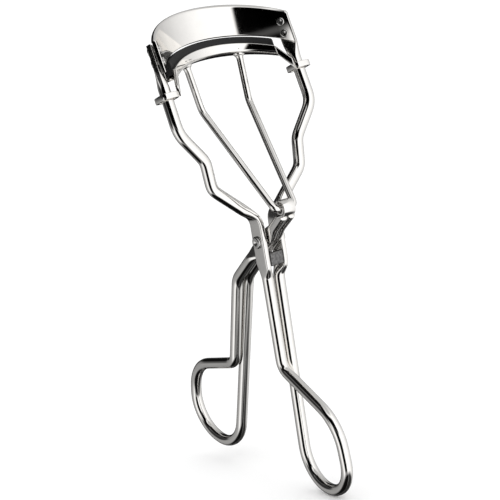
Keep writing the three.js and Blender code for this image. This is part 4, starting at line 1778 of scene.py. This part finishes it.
@dataclass
class Studio:
    """A pale floor, soft light, and the tent that the bright metal mirrors."""

    floor_half: float = 6.0
    floor_colour: str = "#FAFAFA"
    surround_radius: float = 0.6
    surround_height: float = 0.06
    light_strength: float = 1.17
    tent_strength: float = 1.25
    wall_stops: tuple[tuple[float, float], ...] = (
        (-180, 0.5), (-125, 0.62), (-98, 0.95), (10, 1.03), (40, 0.98), (100, 0.75), (180, 0.5),
    )

    def floor(self) -> None:
        """Lays the floor."""
        mesh = bpy.data.meshes.new("floor")
        h = self.floor_half
        mesh.from_pydata([(-h, -h, 0), (h, -h, 0), (h, h, 0), (-h, h, 0)], [], [[0, 1, 2, 3]])
        thing = linked("floor", mesh)
        material, _, shader, _ = start_material("pale_floor_paint")
        shader.inputs["Roughness"].default_value = 0.9
        shader.inputs["Base Color"].default_value = srgb(self.floor_colour)
        shader.inputs["Specular IOR Level"].default_value = 0.1
        mesh.materials.append(material)
        thing.visible_glossy = False

    def world(self) -> None:
        """Sets the even white light of the tent."""
        world = bpy.data.worlds.new("tent_light")
        world.use_nodes = True
        shade = next(n for n in world.node_tree.nodes if n.type == "BACKGROUND")
        shade.inputs["Color"].default_value = (1.0, 1.0, 1.0, 1.0)
        shade.inputs["Strength"].default_value = self.light_strength
        bpy.context.scene.world = world

    def surround(self) -> None:
        """Hangs the tent's white walls and black flags, which only reflections see."""
        ball = bmesh.new()
        bmesh.ops.create_uvsphere(ball, u_segments=96, v_segments=48, radius=self.surround_radius)
        bmesh.ops.translate(ball, verts=ball.verts, vec=(0.0, 0.0, self.surround_height))
        bmesh.ops.reverse_faces(ball, faces=ball.faces)
        mesh = bpy.data.meshes.new("tent")
        ball.to_mesh(mesh)
        ball.free()
        thing = linked("tent", mesh)
        for rays in ("camera", "diffuse", "transmission", "volume_scatter", "shadow"):
            setattr(thing, f"visible_{rays}", False)
        mesh.materials.append(self.tent_material())

    def tent_material(self) -> bpy.types.Material:
        """The tent's brightness by direction: white walls, black flags by the camera, grey corners."""
        material = bpy.data.materials.new("tent_walls")
        material.use_nodes = True
        tree = material.node_tree
        tree.nodes.clear()
        place = add_node(tree, "ShaderNodeTexCoord").outputs["Object"]
        parts = add_node(tree, "ShaderNodeSeparateXYZ", links={"Vector": place})
        behind = calc(tree, "MULTIPLY", parts.outputs["Y"], -1.0)
        bearing = calc(tree, "ARCTAN2", parts.outputs["X"], behind)
        level = add_node(
            tree, "ShaderNodeVectorMath", {"operation": "MULTIPLY"}, {1: (1.0, 1.0, 0.0)}, {0: place}
        )
        heading = add_node(
            tree, "ShaderNodeVectorMath", {"operation": "NORMALIZE"}, links={0: level.outputs["Vector"]}
        )
        ends = (self.surround_height - self.surround_radius, self.surround_height + self.surround_radius)
        elevation = calc(tree, "ARCSINE", remap(tree, parts.outputs["Z"], ends, (-1.0, 1.0)))
        seen = self.wall(tree, remap(tree, bearing, (-math.pi, math.pi)))
        for panel in PANELS:
            seen = panel.hang(tree, heading.outputs["Vector"], elevation, seen)
        glow = add_node(
            tree, "ShaderNodeEmission", values={"Strength": self.tent_strength}, links={"Color": seen}
        )
        add_node(tree, "ShaderNodeOutputMaterial", links={"Surface": glow.outputs["Emission"]})
        return material

    def wall(self, tree: bpy.types.NodeTree, share: bpy.types.NodeSocket) -> bpy.types.NodeSocket:
        """The white wall all round, brightest in front and dimmer behind.

        Args:
            tree: the tent's tree.
            share: bearing from 0 to 1.

        Returns:
            The wall's colour socket.
        """
        node = add_node(tree, "ShaderNodeValToRGB", links={"Fac": share})
        elements = node.color_ramp.elements
        while len(elements) > 1:
            elements.remove(elements[-1])
        for i, (degrees, level) in enumerate(self.wall_stops):
            where = (degrees + 180) / 360
            stop = elements[0] if i == 0 else elements.new(where)
            stop.position = where
            stop.color = grey(level)
        return node.outputs["Color"]

    def build(self) -> None:
        """Sets up the studio."""
        self.floor()
        self.world()
        self.surround()
        bpy.context.scene.view_settings.view_transform = "Standard"


@dataclass
class ViewPoint:
    """Where the tool is looked at from."""

    bearing: float = -31.857
    elevation: float = 12.433
    roll: float = 9.5
    distance: float = 0.36079
    shift_right: float = 0.0039716  # of the pivot from the line of sight, metres
    shift_up: float = 0.0022866
    lens: float = 122.64
    sensor: float = 36.0

    def build(self) -> None:
        """Places the camera."""
        a, e = math.radians(self.bearing), math.radians(self.elevation)
        forward = Vector((-math.sin(a) * math.cos(e), math.cos(a) * math.cos(e), -math.sin(e)))
        level = forward.cross(Z_AXIS).normalized()
        upright = level.cross(forward).normalized()
        turn = Matrix.Rotation(math.radians(self.roll), 3, forward)
        right, up = turn @ level, turn @ upright
        place = PIVOT - forward * self.distance - right * self.shift_right - up * self.shift_up
        data = bpy.data.cameras.new("camera")
        data.lens = self.lens
        data.sensor_width = self.sensor
        data.clip_start = 0.01
        data.clip_end = 50.0
        camera = bpy.data.objects.new("camera", data)
        bpy.context.scene.collection.objects.link(camera)
        turned = Matrix((right, up, -forward)).transposed().to_4x4()
        camera.matrix_world = Matrix.Translation(place) @ turned
        bpy.context.scene.camera = camera


def main() -> None:
    """Builds every piece in order."""
    logging.basicConfig(level=logging.INFO, format="%(message)s")
    wire_nickel = MirrorNickel("mirror_nickel_wire", pressed=0.12).build()
    sheet_nickel = MirrorNickel("mirror_nickel_sheet", ripple_mm=5.0).build()
    rivet_nickel = SatinNickel().build()
    cut_steel = SatinNickel(
        "tumbled_cut_steel", "#8C8B8A", "#4A4A4B",
        roughness_low=0.3, roughness_high=0.55, dimple_mm=0.45, dimple_height=0.03,
    ).build()
    rubber = MouldedRubber().build()
    drawer = WireDrawer()
    FrameWire().build(drawer, wire_nickel)
    TopPlate().build(sheet_nickel)
    PlateRivets().build(rivet_nickel)
    PivotRivet().build(rivet_nickel)
    EyeSpacer().build(cut_steel)
    LeverWire().build(drawer, wire_nickel)
    RolledBarrel().build(sheet_nickel)
    jaw = LowerJaw()
    jaw.channel(sheet_nickel)
    jaw.pad(rubber)
    for side in Side:
        JawGuide(side).build(sheet_nickel)
    LinkWires().build(drawer, wire_nickel)
    Studio().build()
    ViewPoint().build()


if __name__ == "__main__":
    main()
